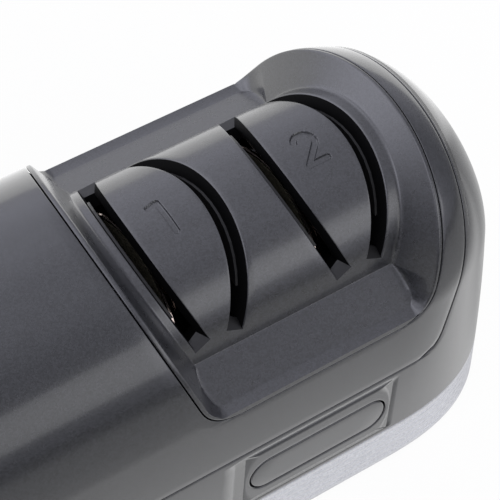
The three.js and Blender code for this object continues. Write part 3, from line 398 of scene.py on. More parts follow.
def make_upper_housing():
    """Barrel and the frame round the valley, as a grid of rows over the section and columns
    along X. A row's place is its full-width place times the width share of the end's
    superellipse at its x. The block of columns inside the valley is left out over the
    valley's floor, and points near an edge go in by a quarter circle."""
    low = SEAM_HEIGHT + SEAM_GAP / 2
    floor = HUMP_AXIS + LIP_RISE
    skirt = np.concatenate([
        low + EDGE_STEPS, spread(low + EDGE_ROUND, floor - 2, 8), floor - EDGE_STEPS[::-1],
        floor + ROWS_PAST_FLOOR])
    section = Section(skirt, ARCH, skirt[::-1])
    _, z_full = (a[:, None] for a in section.full(0))
    valley, seam = valley_line(0), seam_line(-SEAM_GAP / 2)
    above = (z_full[:, 0] > floor + 1e-6) | (section.side == 0)
    left_share = left_end_share()[None, :] + 0 * z_full

    def border(line, branch):
        """x where each row meets an outline, by repeated substitution."""
        z = z_full.copy()
        for _ in range(SUBSTITUTIONS):
            x = x_on(line, z, branch)
            _, z = share_at(x, z_full)
        return x

    x_left = border(valley, "left")
    x_right = border(valley, "right")
    x_end = border(seam[::-1], "right")
    fraction = np.linspace(0, 1, 22)[None, 1:-1]
    edge = EDGE_STEPS[None, :]
    columns = [-STRAIGHT_END + (x_left - EDGE_ROUND + STRAIGHT_END) * fraction, x_left - edge[:, ::-1]]
    middle = np.linspace(0, 1, 14)[None, 1:-1]
    columns.append(x_left + (x_right - x_left) * middle)
    columns.append(x_right + edge)
    inner = np.linspace(0, 1, 10)[None, 1:-1]
    columns.append(x_right + EDGE_ROUND + (x_end - x_right - 2 * EDGE_ROUND) * inner)
    columns.append(x_end - edge[:, ::-1])
    x = np.concatenate([c + 0 * z_full for c in columns], 1)
    share, _ = share_at(x, z_full)
    points = shell_points(section, x, share, [body_grid(section, left_share, -1)], [valley, seam])
    rows, count = points.shape[:2]
    first_middle = left_share.shape[1] + fraction.shape[1] + edge.shape[1] - 1
    last_middle = first_middle + middle.shape[1]
    keep = np.ones((rows - 1, count - 1), bool)
    blocked = above[:-1] | above[1:]
    keep[np.ix_(blocked, np.arange(first_middle, last_middle + 1))] = False
    obj = make_piece("barrel_shell", points, grid_faces(rows, count, keep=keep),
                     replaces=["upper_housing"], slot="housing")
    return solidify(obj, UPPER_WALL)


def outward(outline):
    """Unit normals of a counter-clockwise outline, away from its inside."""
    along = np.roll(outline, -1, 0) - np.roll(outline, 1, 0)
    normal = np.stack([along[:, 1], -along[:, 0]], -1)
    return normal / np.linalg.norm(normal, axis=1)[:, None]


def opening_patch(rect, outline, side, depth):
    """Skin between a rectangle of the wall and a hole in it: rings from the rectangle to
    the hole, a quarter circle over its edge and a wall as deep as told, all laid on the
    skirt's surface. rect and outline are in (x, z), and side is -1 for the front."""
    x0, x1, z0, z1 = rect
    centre = outline.mean(0)
    corners = np.arctan2([z0 - centre[1], z0 - centre[1], z1 - centre[1], z1 - centre[1]],
                         [x0 - centre[0], x1 - centre[0], x0 - centre[0], x1 - centre[0]])
    around = np.arctan2(*(outline - centre).T[::-1])
    angles = np.sort(np.concatenate([around, corners]))
    order = np.argsort(around)
    closed = np.concatenate([order, order[:1]])
    wrapped = np.concatenate([around[order], [around[order[0]] + 2 * math.pi]])
    target = np.where(angles < wrapped[0], angles + 2 * math.pi, angles)
    hole = np.stack([np.interp(target, wrapped, outline[closed, k]) for k in (0, 1)], -1)
    direction = np.stack([np.cos(angles), np.sin(angles)], -1)
    room_x = np.where(direction[:, 0] > 0, x1 - centre[0], centre[0] - x0)
    room_z = np.where(direction[:, 1] > 0, z1 - centre[1], centre[1] - z0)
    across = np.maximum(np.abs(direction), 1e-9)
    reach = np.minimum(room_x / across[:, 0], room_z / across[:, 1])
    outer = centre + direction * reach[:, None]
    normal = outward(hole)
    rings, depths = [], []
    start = hole + normal * EDGE_ROUND
    for t in (0, 0.4, 0.8):
        rings.append(outer + (start - outer) * t)
        depths.append(0)
    for step in EDGE_STEPS[::-1]:
        rings.append(hole + normal * step)
        depths.append(float(round_drop(step)))
    rings.append(hole)
    depths.append(depth)
    flat = np.array(rings)
    y = side * (half_width_at(flat[..., 1]) * width_share(flat[..., 0], flat[..., 1]))
    y = y - side * np.array(depths)[:, None]
    points = np.stack([flat[..., 0], y, flat[..., 1]], -1)
    faces = grid_faces(len(rings), len(angles), loop=True, flip=side > 0)
    return points.reshape(-1, 3), faces


def stadium_outline(x, z, length, width, steps=40):
    """Two half circles joined by straight lines, counter-clockwise in (x, z)."""
    radius = width / 2
    turn = np.linspace(-math.pi / 2, math.pi / 2, steps)
    reach = length / 2 - radius
    right = np.stack([x + reach + radius * np.cos(turn), z + radius * np.sin(turn)], -1)
    left = np.stack([x - reach - radius * np.cos(turn), z - radius * np.sin(turn)], -1)
    straight = np.linspace(-reach, reach, 30)[1:-1]
    top = np.stack([x - straight, z + radius + 0 * straight], -1)
    bottom = np.stack([x + straight, z - radius + 0 * straight], -1)
    return np.concatenate([right, top, left, bottom])


def box_outline(x, z, length, width, corner, steps=8):
    """Rectangle with round corners, counter-clockwise in (x, z)."""
    out = []
    for k, (sx, sz) in enumerate([(1, -1), (1, 1), (-1, 1), (-1, -1)]):
        turn = np.linspace(-math.pi / 2, 0, steps) + k * math.pi / 2
        cx, cz = x + sx * (length / 2 - corner), z + sz * (width / 2 - corner)
        out.append(np.stack([cx + corner * np.cos(turn), cz + corner * np.sin(turn)], -1))
        nx, nz = [(1, 1), (-1, 1), (-1, -1), (1, -1)][k]
        if k % 2 == 0:
            side = np.linspace(-1, 1, 12)[1:-1] * (width / 2 - corner)
            out.append(np.stack([x + sx * length / 2 + 0 * side, z + side * nz], -1))
        else:
            side = np.linspace(-1, 1, 24)[1:-1] * (length / 2 - corner)
            out.append(np.stack([x + side * nx, z + sz * width / 2 + 0 * side], -1))
    return np.concatenate(out)


def circle_outline(x, z, radius, steps=64):
    """Circle, counter-clockwise in (x, z)."""
    turn = np.linspace(0, 2 * math.pi, steps, endpoint=False)
    return np.stack([x + radius * np.cos(turn), z + radius * np.sin(turn)], -1)


# Heights between which openings are let into the skirt, and the rows next to them
WALL_LOW, WALL_HIGH = 16.2, 34.4
ROW_UNDER_WALL, ROW_OVER_WALL = 15.8, 35.2
# Columns across the straight middle, with one on either side of each opening
COLUMNS = np.array([-58.6, -56, -42, -39, -28, -18, -10, -1, 8, 9, 14, 20, 30, 40, 50, 60.35, 62, 64, 66, 68])
PATCH_MARGIN = 1.0
SEAM_MARGIN = 0.5
RIGHT_END_TURNS = 46


def make_lower_housing():
    """Skirt and right end, as a grid of rows over the section and columns along X, placed
    as in the upper housing. The rows over the seam's height start right of the seam. Four
    blocks of the wall are left out for patches with openings."""
    low = BAND_TOP + RUNNING_GAP
    top = SEAM_HEIGHT - SEAM_GAP / 2
    skirt = np.concatenate([
        low + EDGE_STEPS, [ROW_UNDER_WALL, WALL_LOW], spread(WALL_LOW, WALL_HIGH, 8),
        [ROW_OVER_WALL], top - EDGE_STEPS[::-1], top + ROWS_PAST_SEAM])
    section = Section(skirt, ARCH, skirt[::-1])
    _, z_full = (a[:, None] for a in section.full(0))
    seam = seam_line(SEAM_GAP / 2)
    z = z_full.copy()
    for _ in range(SUBSTITUTIONS):
        x_seam = x_on(seam[::-1], z, "right")
        _, z = share_at(x_seam, z_full)
    above = (z_full[:, 0] > top + 1e-6) | (section.side == 0)
    left_share = left_end_share()[None, :] + 0 * z_full
    blocks = COLUMNS[COLUMNS < x_seam.min() - SEAM_MARGIN]
    edge = EDGE_STEPS[None, :]
    x = np.concatenate([blocks[None, :] + 0 * z_full, x_seam + edge], 1)
    share, _ = share_at(x, z_full)
    last = share[:, -1:]
    turn_last = np.arcsin(np.clip(last, 0, 1) ** (END_POWER / 2))
    right_share = turn_to_share(turn_last * np.linspace(1, 0, RIGHT_END_TURNS)[None, 1:] ** TIP_CROWDING)
    ends = [body_grid(section, left_share, -1), body_grid(section, right_share, 1)]
    points = shell_points(section, x, share, ends, [seam], low)
    rows, count = points.shape[:2]
    start = left_share.shape[1]
    keep = np.ones((rows - 1, count - 1), bool)
    keep[np.ix_(above[:-1] | above[1:], np.arange(0, start + len(blocks)))] = False
    heights = z_full[:, 0]
    middle = (heights[:-1] + heights[1:]) / 2
    in_wall = (middle > WALL_LOW) & (middle < WALL_HIGH)
    badge_pocket = dict(BADGE, length=BADGE["length"] + 2 * BADGE_GAP, width=BADGE["width"] + 2 * BADGE_GAP)
    openings = ((-1, stadium_outline(**badge_pocket), BADGE_POCKET),
                (-1, box_outline(**SWITCH), OPENING_DEPTH),
                (1, circle_outline(**INLET), OPENING_DEPTH),
                (1, box_outline(**TRAY), OPENING_DEPTH))
    patches = []
    for side, outline, depth in openings:
        x_low, x_high = outline[:, 0].min() - PATCH_MARGIN, outline[:, 0].max() + PATCH_MARGIN
        c0 = start + np.nonzero(blocks <= x_low)[0][-1]
        c1 = start + np.nonzero(blocks >= x_high)[0][0]
        keep[np.ix_(in_wall & (section.side[:-1] == side), np.arange(c0, c1))] = False
        rect = (blocks[c0 - start], blocks[c1 - start], WALL_LOW, WALL_HIGH)
        patches.append(opening_patch(rect, outline, side, depth))
    all_points = [points.reshape(-1, 3)]
    faces = grid_faces(rows, count, keep=keep)
    for patch_points, patch_faces in patches:
        base = sum(len(p) for p in all_points)
        all_points.append(patch_points)
        faces += [[i + base for i in f] for f in patch_faces]
    obj = make_piece("skirt_shell", np.concatenate(all_points), faces,
                     replaces=["lower_housing"], slot="housing")
    return solidify(obj, LOWER_WALL)


def make_badge_plate():
    """Bare plate in its pocket: rings that grow from its middle to its outline, a quarter
    circle over its edge and a side, all laid on the skirt's surface."""
    outline = stadium_outline(**BADGE)
    centre = outline.mean(0)
    normal = outward(outline)
    inner = outline - normal * BADGE_ROUND
    rings = [centre + (inner - centre) * t for t in (0, 0.35, 0.7)]
    depths = [0, 0, 0]
    for step in BADGE_ROUND * EDGE_SHARES[::-1]:
        rings.append(outline - normal * step)
        depths.append(float(round_drop(step, BADGE_ROUND)))
    rings.append(outline)
    depths.append(BADGE_THICKNESS)
    flat = np.array(rings)
    y = -(half_width_at(flat[..., 1]) * width_share(flat[..., 0], flat[..., 1])) + np.array(depths)[:, None]
    points = np.stack([flat[..., 0], y, flat[..., 1]], -1)
    faces = grid_faces(len(rings), len(outline), loop=True, flip=True)
    return make_piece("bare_badge", points, faces, replaces=["badge_plate"], slot="housing")


# Guide cover

def smooth_least(a, b, size):
    """The lesser of two values, with the corner between them rounded over a size."""
    h = np.clip(0.5 + 0.5 * (b - a) / size, 0, 1)
    return b * (1 - h) + a * h - size * h * (1 - h)


def smooth_most(a, b, size):
    """The greater of two values, with the corner between them filled over a size."""
    return -smooth_least(-a, -b, size)


SEARCH_ROOM = 12.0  # from the barrel's radius to a distance outside the body
LEAST_SHARE = 1e-6


def body_radius(angle, x):
    """Distance from the hump's axis to the body's surface, by halving an interval: a point
    is inside where it is under the skirt's half width or the barrel's radius, both with
    the width share of the end at its x."""
    low = np.zeros(np.broadcast(angle, x).shape)
    high = low + BARREL_RADIUS + SEARCH_ROOM
    for _ in range(HALVINGS):
        middle = (low + high) / 2
        y, z = middle * np.sin(angle), HUMP_AXIS + middle * np.cos(angle)
        share = np.maximum(width_share(x, z), LEAST_SHARE)
        rise = (z - SHOULDER) / share + SHOULDER - BARREL_AXIS
        inside = np.where(z <= SHOULDER, np.abs(y) < half_width_at(z) * share,
                          np.hypot(y / share, rise) < BARREL_RADIUS)
        low, high = np.where(inside, middle, low), np.where(inside, high, middle)
    return low


LEDGE_Y = HUMP_RADIUS * math.sin(math.acos(LEDGE_RISE / HUMP_RADIUS)) + LEDGE_DEPTH
SLOPE_START = 1.0  # radians, between the slots' ends and the ledge
FAR_OUT = 60.0
LEAST_COSINE = 0.05
AT_SURFACE = 0.5  # depth under the body's surface within which the rim is rounded
LIP_HEIGHT = LIP_RISE + COVER_LIP
LIP_Y = float(half_width_at(HUMP_AXIS + LIP_HEIGHT)) - COVER_LIP


def floor_radius(angle):
    """Distance from the hump's axis to the floor of the valley: the hump's radius, then a
    level ledge, whose distance is its rise over the cosine, then a straight slope from the
    ledge's edge to the lip, with small rounds between them."""
    size = np.abs(angle)
    ledge = LEDGE_RISE / np.maximum(np.cos(size), LEAST_COSINE)
    run_y, run_z = LIP_Y - LEDGE_Y, LIP_HEIGHT - LEDGE_RISE
    cross = LEDGE_Y * run_z - LEDGE_RISE * run_y
    slope = cross / (np.sin(size) * run_z - np.cos(size) * run_y)
    beyond = smooth_least(ledge, np.where(size > SLOPE_START, slope, FAR_OUT), LEDGE_ROUND)
    return smooth_most(HUMP_RADIUS + 0 * size, beyond, LEDGE_ROUND)


def slot_edge(stage, side, which, radius, angle, gap=0.0):
    """x of a slot's inner or outer edge. Both lean out by the slot's lean times the height
    over the axis, and a gap narrows the slot."""
    inner = SLOT_LEAN * radius * np.cos(angle) - SLOT_NECK
    reach = inner + gap if which == "inner" else inner + SLOT_WIDTH - gap
    return stage + side * reach


def slot_profile():
    """(radius, gap) pairs down a slot's side: a quarter circle over the mouth, the flare,
    and then the throat. A gap over zero is a share of the flare."""
    turn = np.linspace(0, math.pi / 2, MOUTH_STEPS)
    profile = [(HUMP_RADIUS - MOUTH_ROUND * (1 - math.cos(t)), MOUTH_ROUND * (math.sin(t) - 1))
               for t in turn]
    profile += [(HUMP_RADIUS - share * SLOT_FLARE_DEPTH, gap) for share, gap in FLARE_SHARES]
    return profile + [(HUMP_RADIUS - SLOT_DEPTH, 1.0)]


DIGIT_HEIGHT = 9.4
DIGIT_STROKE = 1.45
DIGIT_DEPTH = 0.5
DIGIT_WALL = 0.2  # width of the slope at the stroke's edge
DIGIT_SPREAD = 0.08  # by which the stroke is wider at the top of that slope
DIGIT_MIDDLE = math.radians(1.0)
DIGIT_SPAN = 3.7
DIGIT_SPAN_MARGIN = 0.3
DIGIT_TOP = math.radians(12.6)
ONE_STEM = 0.2
ONE_FLAG = (2.1, 0.55)
TWO_HALF_WIDTH = 2.35
TWO_FOOT_GAIN = 0.1
TWO_BOW = (math.radians(160), math.radians(-38))


def digit_line(number):
    """Centre line of a plain digit, x to the right and v up, about its middle."""
    half_height = (DIGIT_HEIGHT - DIGIT_STROKE) / 2
    if number == 1:
        flag = (-ONE_FLAG[0], half_height - ONE_FLAG[1])
        return np.array([flag, (ONE_STEM, half_height), (ONE_STEM, -half_height)])
    turn = np.linspace(*TWO_BOW, 22)
    top = half_height - TWO_HALF_WIDTH
    bow = np.stack([TWO_HALF_WIDTH * np.cos(turn), top + TWO_HALF_WIDTH * np.sin(turn)], -1)
    foot = np.array([(-TWO_HALF_WIDTH, -half_height), (TWO_HALF_WIDTH + TWO_FOOT_GAIN, -half_height)])
    return np.concatenate([bow, foot])


def digit_depth(number, stage, x, angle):
    """Depth of a debossed digit: full inside the stroke, none outside it, and a smooth
    step of the distance to its centre line between them."""
    near = distance_to(digit_line(number), x - stage, (angle - DIGIT_MIDDLE) * HUMP_RADIUS)
    t = np.clip((DIGIT_STROKE / 2 + DIGIT_SPREAD - near) / DIGIT_WALL, 0, 1)
    return DIGIT_DEPTH * t * t * (3 - 2 * t)


# Columns over the lip, as shares of its width
LIP_SHARES = (0.6, 0.75, 0.88, 1.0, 1.15, 1.35)

# Height of the cover's lower border, and the angles where it, the hump and the ledge end
COVER_BORDER = HUMP_AXIS + LIP_RISE + VALLEY_GAP
COVER_END = math.atan2(float(half_width_at(COVER_BORDER)), COVER_BORDER - HUMP_AXIS)
LEDGE_IN = math.acos(LEDGE_RISE / HUMP_RADIUS)
LEDGE_OUT = math.atan2(LEDGE_Y, LEDGE_RISE)
FIRST_RADIUS = 32.0  # where the search for the rim begins


LEDGE_MARGINS = (0.04, 0.05)  # radians before and past the ledge with closer rows
RIM_MARGINS = (0.06, 0.012)
RIM_ROWS = COVER_END - np.array([0.0095, 0.007, 0.0048, 0.003, 0.0015, 0.0005, 0])


def cover_rows():
    """Angles of the cover's rows from rim to rim over the top, closer together over the
    digits, at the slots' ends, at the ledge and at the rims."""
    ramp = SLOT_END - SLOT_RAMP
    ledge_start, ledge_end = LEDGE_IN - LEDGE_MARGINS[0], LEDGE_OUT + LEDGE_MARGINS[1]
    rim_start, rim_end = COVER_END - RIM_MARGINS[0], COVER_END - RIM_MARGINS[1]
    half = np.concatenate([
        np.linspace(0, DIGIT_TOP, 44), spread(DIGIT_TOP, ramp, 26), spread(ramp, SLOT_END, 4),
        spread(SLOT_END, ledge_start, 8), spread(ledge_start, ledge_end, 14),
        spread(ledge_end, rim_start, 20), spread(rim_start, rim_end, 9), RIM_ROWS])
    return np.concatenate([-half[::-1], half[1:]])[:, None]


def rim_x(line, angle, branch):
    """x where each row meets the rim of the valley: the height at one x gives the next x."""
    z = HUMP_AXIS + FIRST_RADIUS * np.cos(angle)
    for _ in range(BORDER_SUBSTITUTIONS):
        x = x_on(line, np.maximum(z, COVER_BORDER), branch)
        z = HUMP_AXIS + body_radius(angle, x) * np.cos(angle)
    return x


def slope_share(angle):
    """Share of the way down the slope, from 0 at the ledge to 1 at the lower border."""
    return np.clip((np.abs(angle) - LEDGE_OUT) / (COVER_END - LEDGE_OUT), 0, 1)


def wall_feet(angle, edge_left, edge_right, top_right):
    """x of the left wall's foot, of the right wall at the hump's radius, and of the right
    wall's foot. All lean out with the height of the hump. Down the slope the left foot
    goes over to the lip by a power of the way, and the right foot lies where the straight
    wall meets the floor."""
    size = np.abs(angle)
    reach = SLOT_WIDTH - SLOT_NECK + LEDGE_WIDTH
    lean = SLOT_LEAN * np.maximum(HUMP_RADIUS * np.cos(np.minimum(size, LEDGE_IN)), LEDGE_RISE)
    foot_left = STAGES[0] - reach - lean
    crease_end = edge_left + LEFT_CREASE_END
    foot_left = foot_left + (crease_end - foot_left) * slope_share(angle) ** LEFT_CREASE_POWER
    foot_left = np.maximum(foot_left, edge_left + LEAST_WALL_LEFT)
    widening = RING_WIDENING + RING_WIDENING_GAIN * np.minimum(size / LEDGE_IN, 1) ** 2
    start_right = STAGES[1] + reach + lean + widening
    rise = np.clip((floor_radius(angle) - HUMP_RADIUS) / (top_right - HUMP_RADIUS), 0, 1)
    foot_right = np.minimum(start_right + (edge_right - start_right) * rise, edge_right - LEAST_WALL_RIGHT)
    return foot_left, start_right, foot_right


def line_of(x, at):
    """A column of the cover: (x, angle) in each row."""
    return np.stack([x + 0 * at, at], -1)


def between(start, end, strips):
    """Columns that part the room between two others into even strips."""
    return [start + (end - start) * t for t in np.linspace(0, 1, strips + 1)[1:-1]]


def cover_columns(angle, outer_angle, left, right):
    """x and angle of the cover's points, and the strips that hold the slots' mouths. left
    and right are x of rim, lip and foot. Between the feet the columns follow the slots'
    edges, and they stand closer together over the digits."""
    x_low, edge_left, foot_left = left
    x_high, edge_right, foot_right = right
    lines = [line_of(x_low + step, angle) for step in EDGE_STEPS]
    lines += [line_of(x_low + COVER_LIP * share, angle) for share in LIP_SHARES]
    lines += [line_of(edge_left + LIP_ROUND + (foot_left - edge_left - LIP_ROUND) * t, angle)
              for t in spread(0, 1, 13)]
    mouths = []
    for k, stage in enumerate(STAGES):
        outer_left, inner_left, inner_right, outer_right = (
            line_of(slot_edge(stage, side, which, HUMP_RADIUS, at, -MOUTH_ROUND), at)
            for side, which, at in ((-1, "outer", outer_angle), (-1, "inner", angle),
                                    (1, "inner", angle), (1, "outer", outer_angle)))
        width = inner_right[..., 0] - inner_left[..., 0]
        span = np.minimum(DIGIT_SPAN, width / 2 - DIGIT_SPAN_MARGIN)
        digit = [line_of(stage + span * t, angle) for t in np.linspace(-1, 1, 58)]
        lines += between(lines[-1], outer_left, 10 if k else 7)
        mouths.append(len(lines))
        lines += [outer_left, inner_left]
        lines += between(inner_left, digit[0], 6) + digit + between(digit[-1], inner_right, 6)
        mouths.append(len(lines))
        lines += [inner_right, outer_right]
    lines += between(lines[-1], line_of(foot_right, angle), 7)
    lines += [line_of(foot_right + (edge_right - LIP_ROUND - foot_right) * t, angle)
              for t in np.linspace(0, 1, 22)[:-1]]
    lines += [line_of(x_high - COVER_LIP * share, angle) for share in LIP_SHARES[::-1]]
    lines += [line_of(x_high - step, angle) for step in EDGE_STEPS[::-1]]
    placed = np.concatenate(lines, 1)
    x = np.maximum.accumulate(np.clip(placed[..., 0], x_low, x_high), axis=1)
    return x, placed[..., 1], mouths


def make_guide_cover():
    """Hump, ledge, slopes and valley walls as one distance from the hump's axis over angle
    and x: the lesser of the body's surface and the greatest of the floor and both walls.
    A wall's distance grows in a straight line from its foot to the lip. Cells inside the
    slots' mouths are left out, and the slots get sides, throats and end ramps of their own."""
    angle = cover_rows()
    slant = np.interp(np.abs(angle), [0, SLOT_END, LEDGE_IN], [0, SLOT_SLANT, 0])
    outer_angle = angle + np.sign(angle) * slant
    valley = valley_line(VALLEY_GAP)
    x_low, x_high = rim_x(valley, angle, "left"), rim_x(valley, angle, "right")
    edge_left, edge_right = x_low + COVER_LIP, x_high - COVER_LIP
    top_left, top_right = body_radius(angle, edge_left), body_radius(angle, edge_right)
    foot_left, start_right, foot_right = wall_feet(angle, edge_left, edge_right, top_right)
    x, at, mouths = cover_columns(angle, outer_angle, (x_low, edge_left, foot_left),
                                  (x_high, edge_right, foot_right))

    outer = body_radius(at, x)
    narrowing = outer / body_radius(at, STRAIGHT_END - NARROWING_START) - 1
    base = floor_radius(at) * (1 + narrowing * slope_share(at))
    wall_left = base + (top_left - base) * (foot_left - x) / (foot_left - edge_left)
    wall_right = HUMP_RADIUS + (top_right - HUMP_RADIUS) * (x - start_right) / (edge_right - start_right)
    wall_height = np.maximum(top_right - floor_radius(angle), LEAST_WALL_HEIGHT)
    gain = np.clip(slope_share(angle) * FOOT_ROUND_RATE, 0, 1)
    round_over = np.minimum(FOOT_ROUND + FOOT_ROUND_GAIN * gain, FOOT_ROUND_LIMIT * wall_height)
    inside = smooth_most(base, wall_left, FOOT_ROUND)
    inside = smooth_most(inside, wall_right, round_over)
    radius = smooth_least(outer, inside, LIP_ROUND)
    for k, stage in enumerate(STAGES):
        radius = radius - digit_depth(k + 1, stage, x, at)
    near = distance_to(valley, x, HUMP_AXIS + radius * np.cos(at))
    near = np.where(outer - radius < AT_SURFACE, near, FAR_OUT)
    radius = radius - round_drop(near)
    points = np.stack([x, radius * np.sin(at), HUMP_AXIS + radius * np.cos(at)], -1)
    rows, count = points.shape[:2]
    crossed = np.abs((angle[:-1, 0] + angle[1:, 0]) / 2) < SLOT_END
    keep = np.ones((rows - 1, count - 1), bool)
    keep[np.ix_(crossed, mouths)] = False
    faces = grid_faces(rows, count, keep=keep, flip=True)
    all_points = [points.reshape(-1, 3)]
    deep_points, deep_faces, ramp_points, ramp_faces = [], [], [], []
    in_slot = np.abs(angle[:, 0]) <= SLOT_END + 1e-9
    for stage in STAGES:
        for side in (-1, 1):
            grid, parts, columns = slot_sides(stage, side, angle[in_slot], outer_angle[in_slot])
            kinds = ((all_points, faces), (deep_points, deep_faces), (ramp_points, ramp_faces))
            for (where, found), chosen in zip(kinds, parts):
                base = sum(len(p) for p in where)
                where.append(grid)
                found.extend(grid_faces(len(grid) // columns, columns, first=base, keep=chosen,
                                        flip=side > 0))
    obj = make_piece("stage_cover", np.concatenate(all_points), faces,
                     replaces=["guide_cover"], slot="cover", angle=38)
    face_outwards(obj.data)
    # The throats get a near-black material of their own in dress: painted shade
    throats = make_piece("slot_throats", np.concatenate(deep_points), deep_faces, slot="black_plastic")
    # The end ramps get the black ABS in dress as painted shade, darker than the cover they belong to
    ramps = make_piece("slot_end_ramps", np.concatenate(ramp_points), ramp_faces, slot="black_plastic")
    return obj, throats, ramps


def slot_sides(stage, side, inner_angle, outer_angle):
    """Both sides of a slot as one grid over angle and depth, from the inner mouth down and
    up to the outer one, with three masks over its faces: mouth, throat and end ramps. Near
    its ends the slot is only as deep as a ramp, whose depth grows in a straight line from
    none to the flare's depth, and from there a drop leads down to the throat."""
    profile = np.array(slot_profile())
    into = SLOT_END - np.abs(inner_angle[:, 0])
    at_drop = np.abs(into - SLOT_RAMP) < 1e-6
    order = np.repeat(np.arange(len(into)), np.where(at_drop, 2, 1))
    first = np.concatenate([[False], order[1:] == order[:-1]])
    clipped = at_drop[order] & (first == (inner_angle[order, 0] > 0))
    on_ramp = (into[order] < SLOT_RAMP - 1e-6) | clipped
    limit = np.where(on_ramp, SLOT_FLARE_DEPTH * into[order] / SLOT_RAMP, SLOT_DEPTH)[:, None]
    depth = np.minimum(HUMP_RADIUS - profile[:, 0][None, :], limit)
    gap = np.interp(depth, HUMP_RADIUS - profile[:, 0], profile[:, 1])
    strips = []
    for which, angle in (("inner", inner_angle[order]), ("outer", outer_angle[order])):
        radius = HUMP_RADIUS - depth
        flare = np.where(gap > 0, SLOT_FLARES[which] * gap, gap)
        x = slot_edge(stage, side, which, radius, angle, flare)
        strips.append(np.stack([x, radius * np.sin(angle), HUMP_AXIS + radius * np.cos(angle)], -1))
    rows, count = depth.shape
    grid = np.concatenate([strips[0], strips[1][:, ::-1]], 1).reshape(-1, 3)
    column = np.arange(2 * count - 1)[None, :]
    ramp_row = (on_ramp[:-1] & on_ramp[1:])[:, None]
    drop_row = (on_ramp[:-1] != on_ramp[1:])[:, None]
    floor = column == count - 1
    mouth = (column < MOUTH_STEPS - 1) | (column > 2 * count - 1 - MOUTH_STEPS)
    mouth = np.repeat(mouth, rows - 1, axis=0)
    ramp = floor & ramp_row
    deep = ~mouth & ~ramp & (~floor | drop_row)
    return grid, (mouth, deep, ramp), 2 * count


# Silver band

GROOVES = 5
GROOVE_DEPTH = 0.5
GROOVE_HALF = 0.55
BAND_MARGIN = 1.2
BAND_WALL = 2.0
# (inset, height over the foot) of the rounded lower edge, and (inset, depth under the top)
BAND_FOOT = ((1.6, 0), (0.9, 0), (0.35, 0.25), (0, 0.8))
BAND_HEAD = ((0, 0.4), (0.12, 0.12), (0.4, 0), (BAND_WALL, 0))


def make_base_band():
    """Ring round the foot: a profile of (inset, height) carried round the body's plan,
    which has straight sides and ends that are superellipses. Each groove's depth is a
    squared cosine across its width."""
    profile = [(inset, BODY_BOTTOM + rise) for inset, rise in BAND_FOOT]
    pitch = (BAND_TOP - BODY_BOTTOM - 2 * BAND_MARGIN) / GROOVES
    for i in range(GROOVES):
        z = BODY_BOTTOM + BAND_MARGIN + (i + 1) * pitch
        for t in np.linspace(-1, 1, 9):
            depth = GROOVE_DEPTH * math.cos(t * math.pi / 2) ** 2
            profile.append((depth, z - GROOVE_HALF + GROOVE_HALF * t))
    profile += [(inset, BAND_TOP - drop) for inset, drop in BAND_HEAD]
    profile += [(BAND_WALL, BODY_BOTTOM), profile[0]]
    profile = np.array(profile)
    inset, z = profile[:, 0][:, None], profile[:, 1][:, None]
    quarter = np.linspace(0, 1, 40) ** 1.3 * math.pi / 2
    turns = [(1, -1, quarter), (1, 1, quarter), (-1, 1, quarter), (-1, -1, quarter)]
    plan = []
    for k, (sx, sy, turn) in enumerate(turns):
        t = turn[::-1] if k % 2 == 0 else turn
        reach = (reach_at(z) - inset) * np.cos(t) ** (2 / END_POWER)
        width = (half_width_at(z) - inset) * np.sin(t) ** (2 / END_POWER)
        plan.append(np.stack([sx * (STRAIGHT_END + reach), sy * width, z + 0 * reach], -1))
    points = np.concatenate(plan, 1)
    faces = grid_faces(len(profile), points.shape[1], loop=True)
    obj = make_piece("grooved_band", points, faces, replaces=["base_band"], slot="silver")
    face_outwards(obj.data)
    return obj


# Grinding wheels, seen through the slots

SPINDLE_Z = 52.0
WHEEL_RADIUS = 20.2
WHEEL_FACE = 7.2  # from the middle of the stage to the face that grinds
WHEEL_BACK = WHEEL_FACE - 3.0
HUB_BACK = WHEEL_BACK - 2.2
HUB_BORE, HUB_RADIUS, POCKET_RADIUS = 4.3, 5.7, 9.0
POCKET_DEPTH = 0.5
GRIT_INNER, GRIT_INSET, GRIT_SINK = 9.3, 1.0, 0.1
WHEEL_STEPS = 144


def wheel_profile():
    """(radius, distance from the stage's middle) round a wheel's section: hub, back, a
    bevel out to the rim, a narrow bright ring on the face and the pocket of the grit."""
    rim, back, face = WHEEL_RADIUS, WHEEL_BACK, WHEEL_FACE
    pocket = face - POCKET_DEPTH
    return [(HUB_BORE, HUB_BACK), (HUB_RADIUS, HUB_BACK), (HUB_RADIUS, back), (rim - 2.6, back),
            (rim - 1.6, back + 1.4), (rim - 0.25, face - 0.75), (rim, face - 0.6), (rim, face - 0.1),
            (rim - 0.12, face), (rim - 0.5, face), (rim - 0.6, face - 0.1), (rim - 0.7, pocket),
            (POCKET_RADIUS, pocket), (POCKET_RADIUS, face), (HUB_BORE, face), (HUB_BORE, HUB_BACK)]


def make_wheels():
    """Four wheels and their abrasive rings: sections turned about the spindle, with the
    left ones mirrored in the middle of their stage. Gives each with its material's slot."""
    pocket, top = WHEEL_FACE - POCKET_DEPTH, WHEEL_FACE - GRIT_SINK
    grit_outer = WHEEL_RADIUS - GRIT_INSET
    grit_profile = [(GRIT_INNER, pocket), (grit_outer, pocket), (grit_outer, top), (GRIT_INNER, top),
                    (GRIT_INNER, pocket)]
    pieces = []
    for k, stage in enumerate(STAGES):
        for hand, side in (("left", -1), ("right", 1)):
            label = f"{k + 1}_{hand}"
            centre = (stage, 0, SPINDLE_Z)
            body = f"wheel_{label}_set"
            wheel = lathe(f"copper_wheel_{label}", [(r, side * a) for r, a in wheel_profile()], WHEEL_STEPS,
                          centre, replaces=[f"wheel_{label}"], body=body, slot="wheel_metal")
            grit = lathe(f"abrasive_ring_{label}", [(r, side * a) for r, a in grit_profile], WHEEL_STEPS,
                         centre, replaces=[f"grit_ring_{label}"], body=body, slot="grit")
            pieces += [(wheel, "wheel_metal"), (grit, "grit")]
    return pieces


# Materials

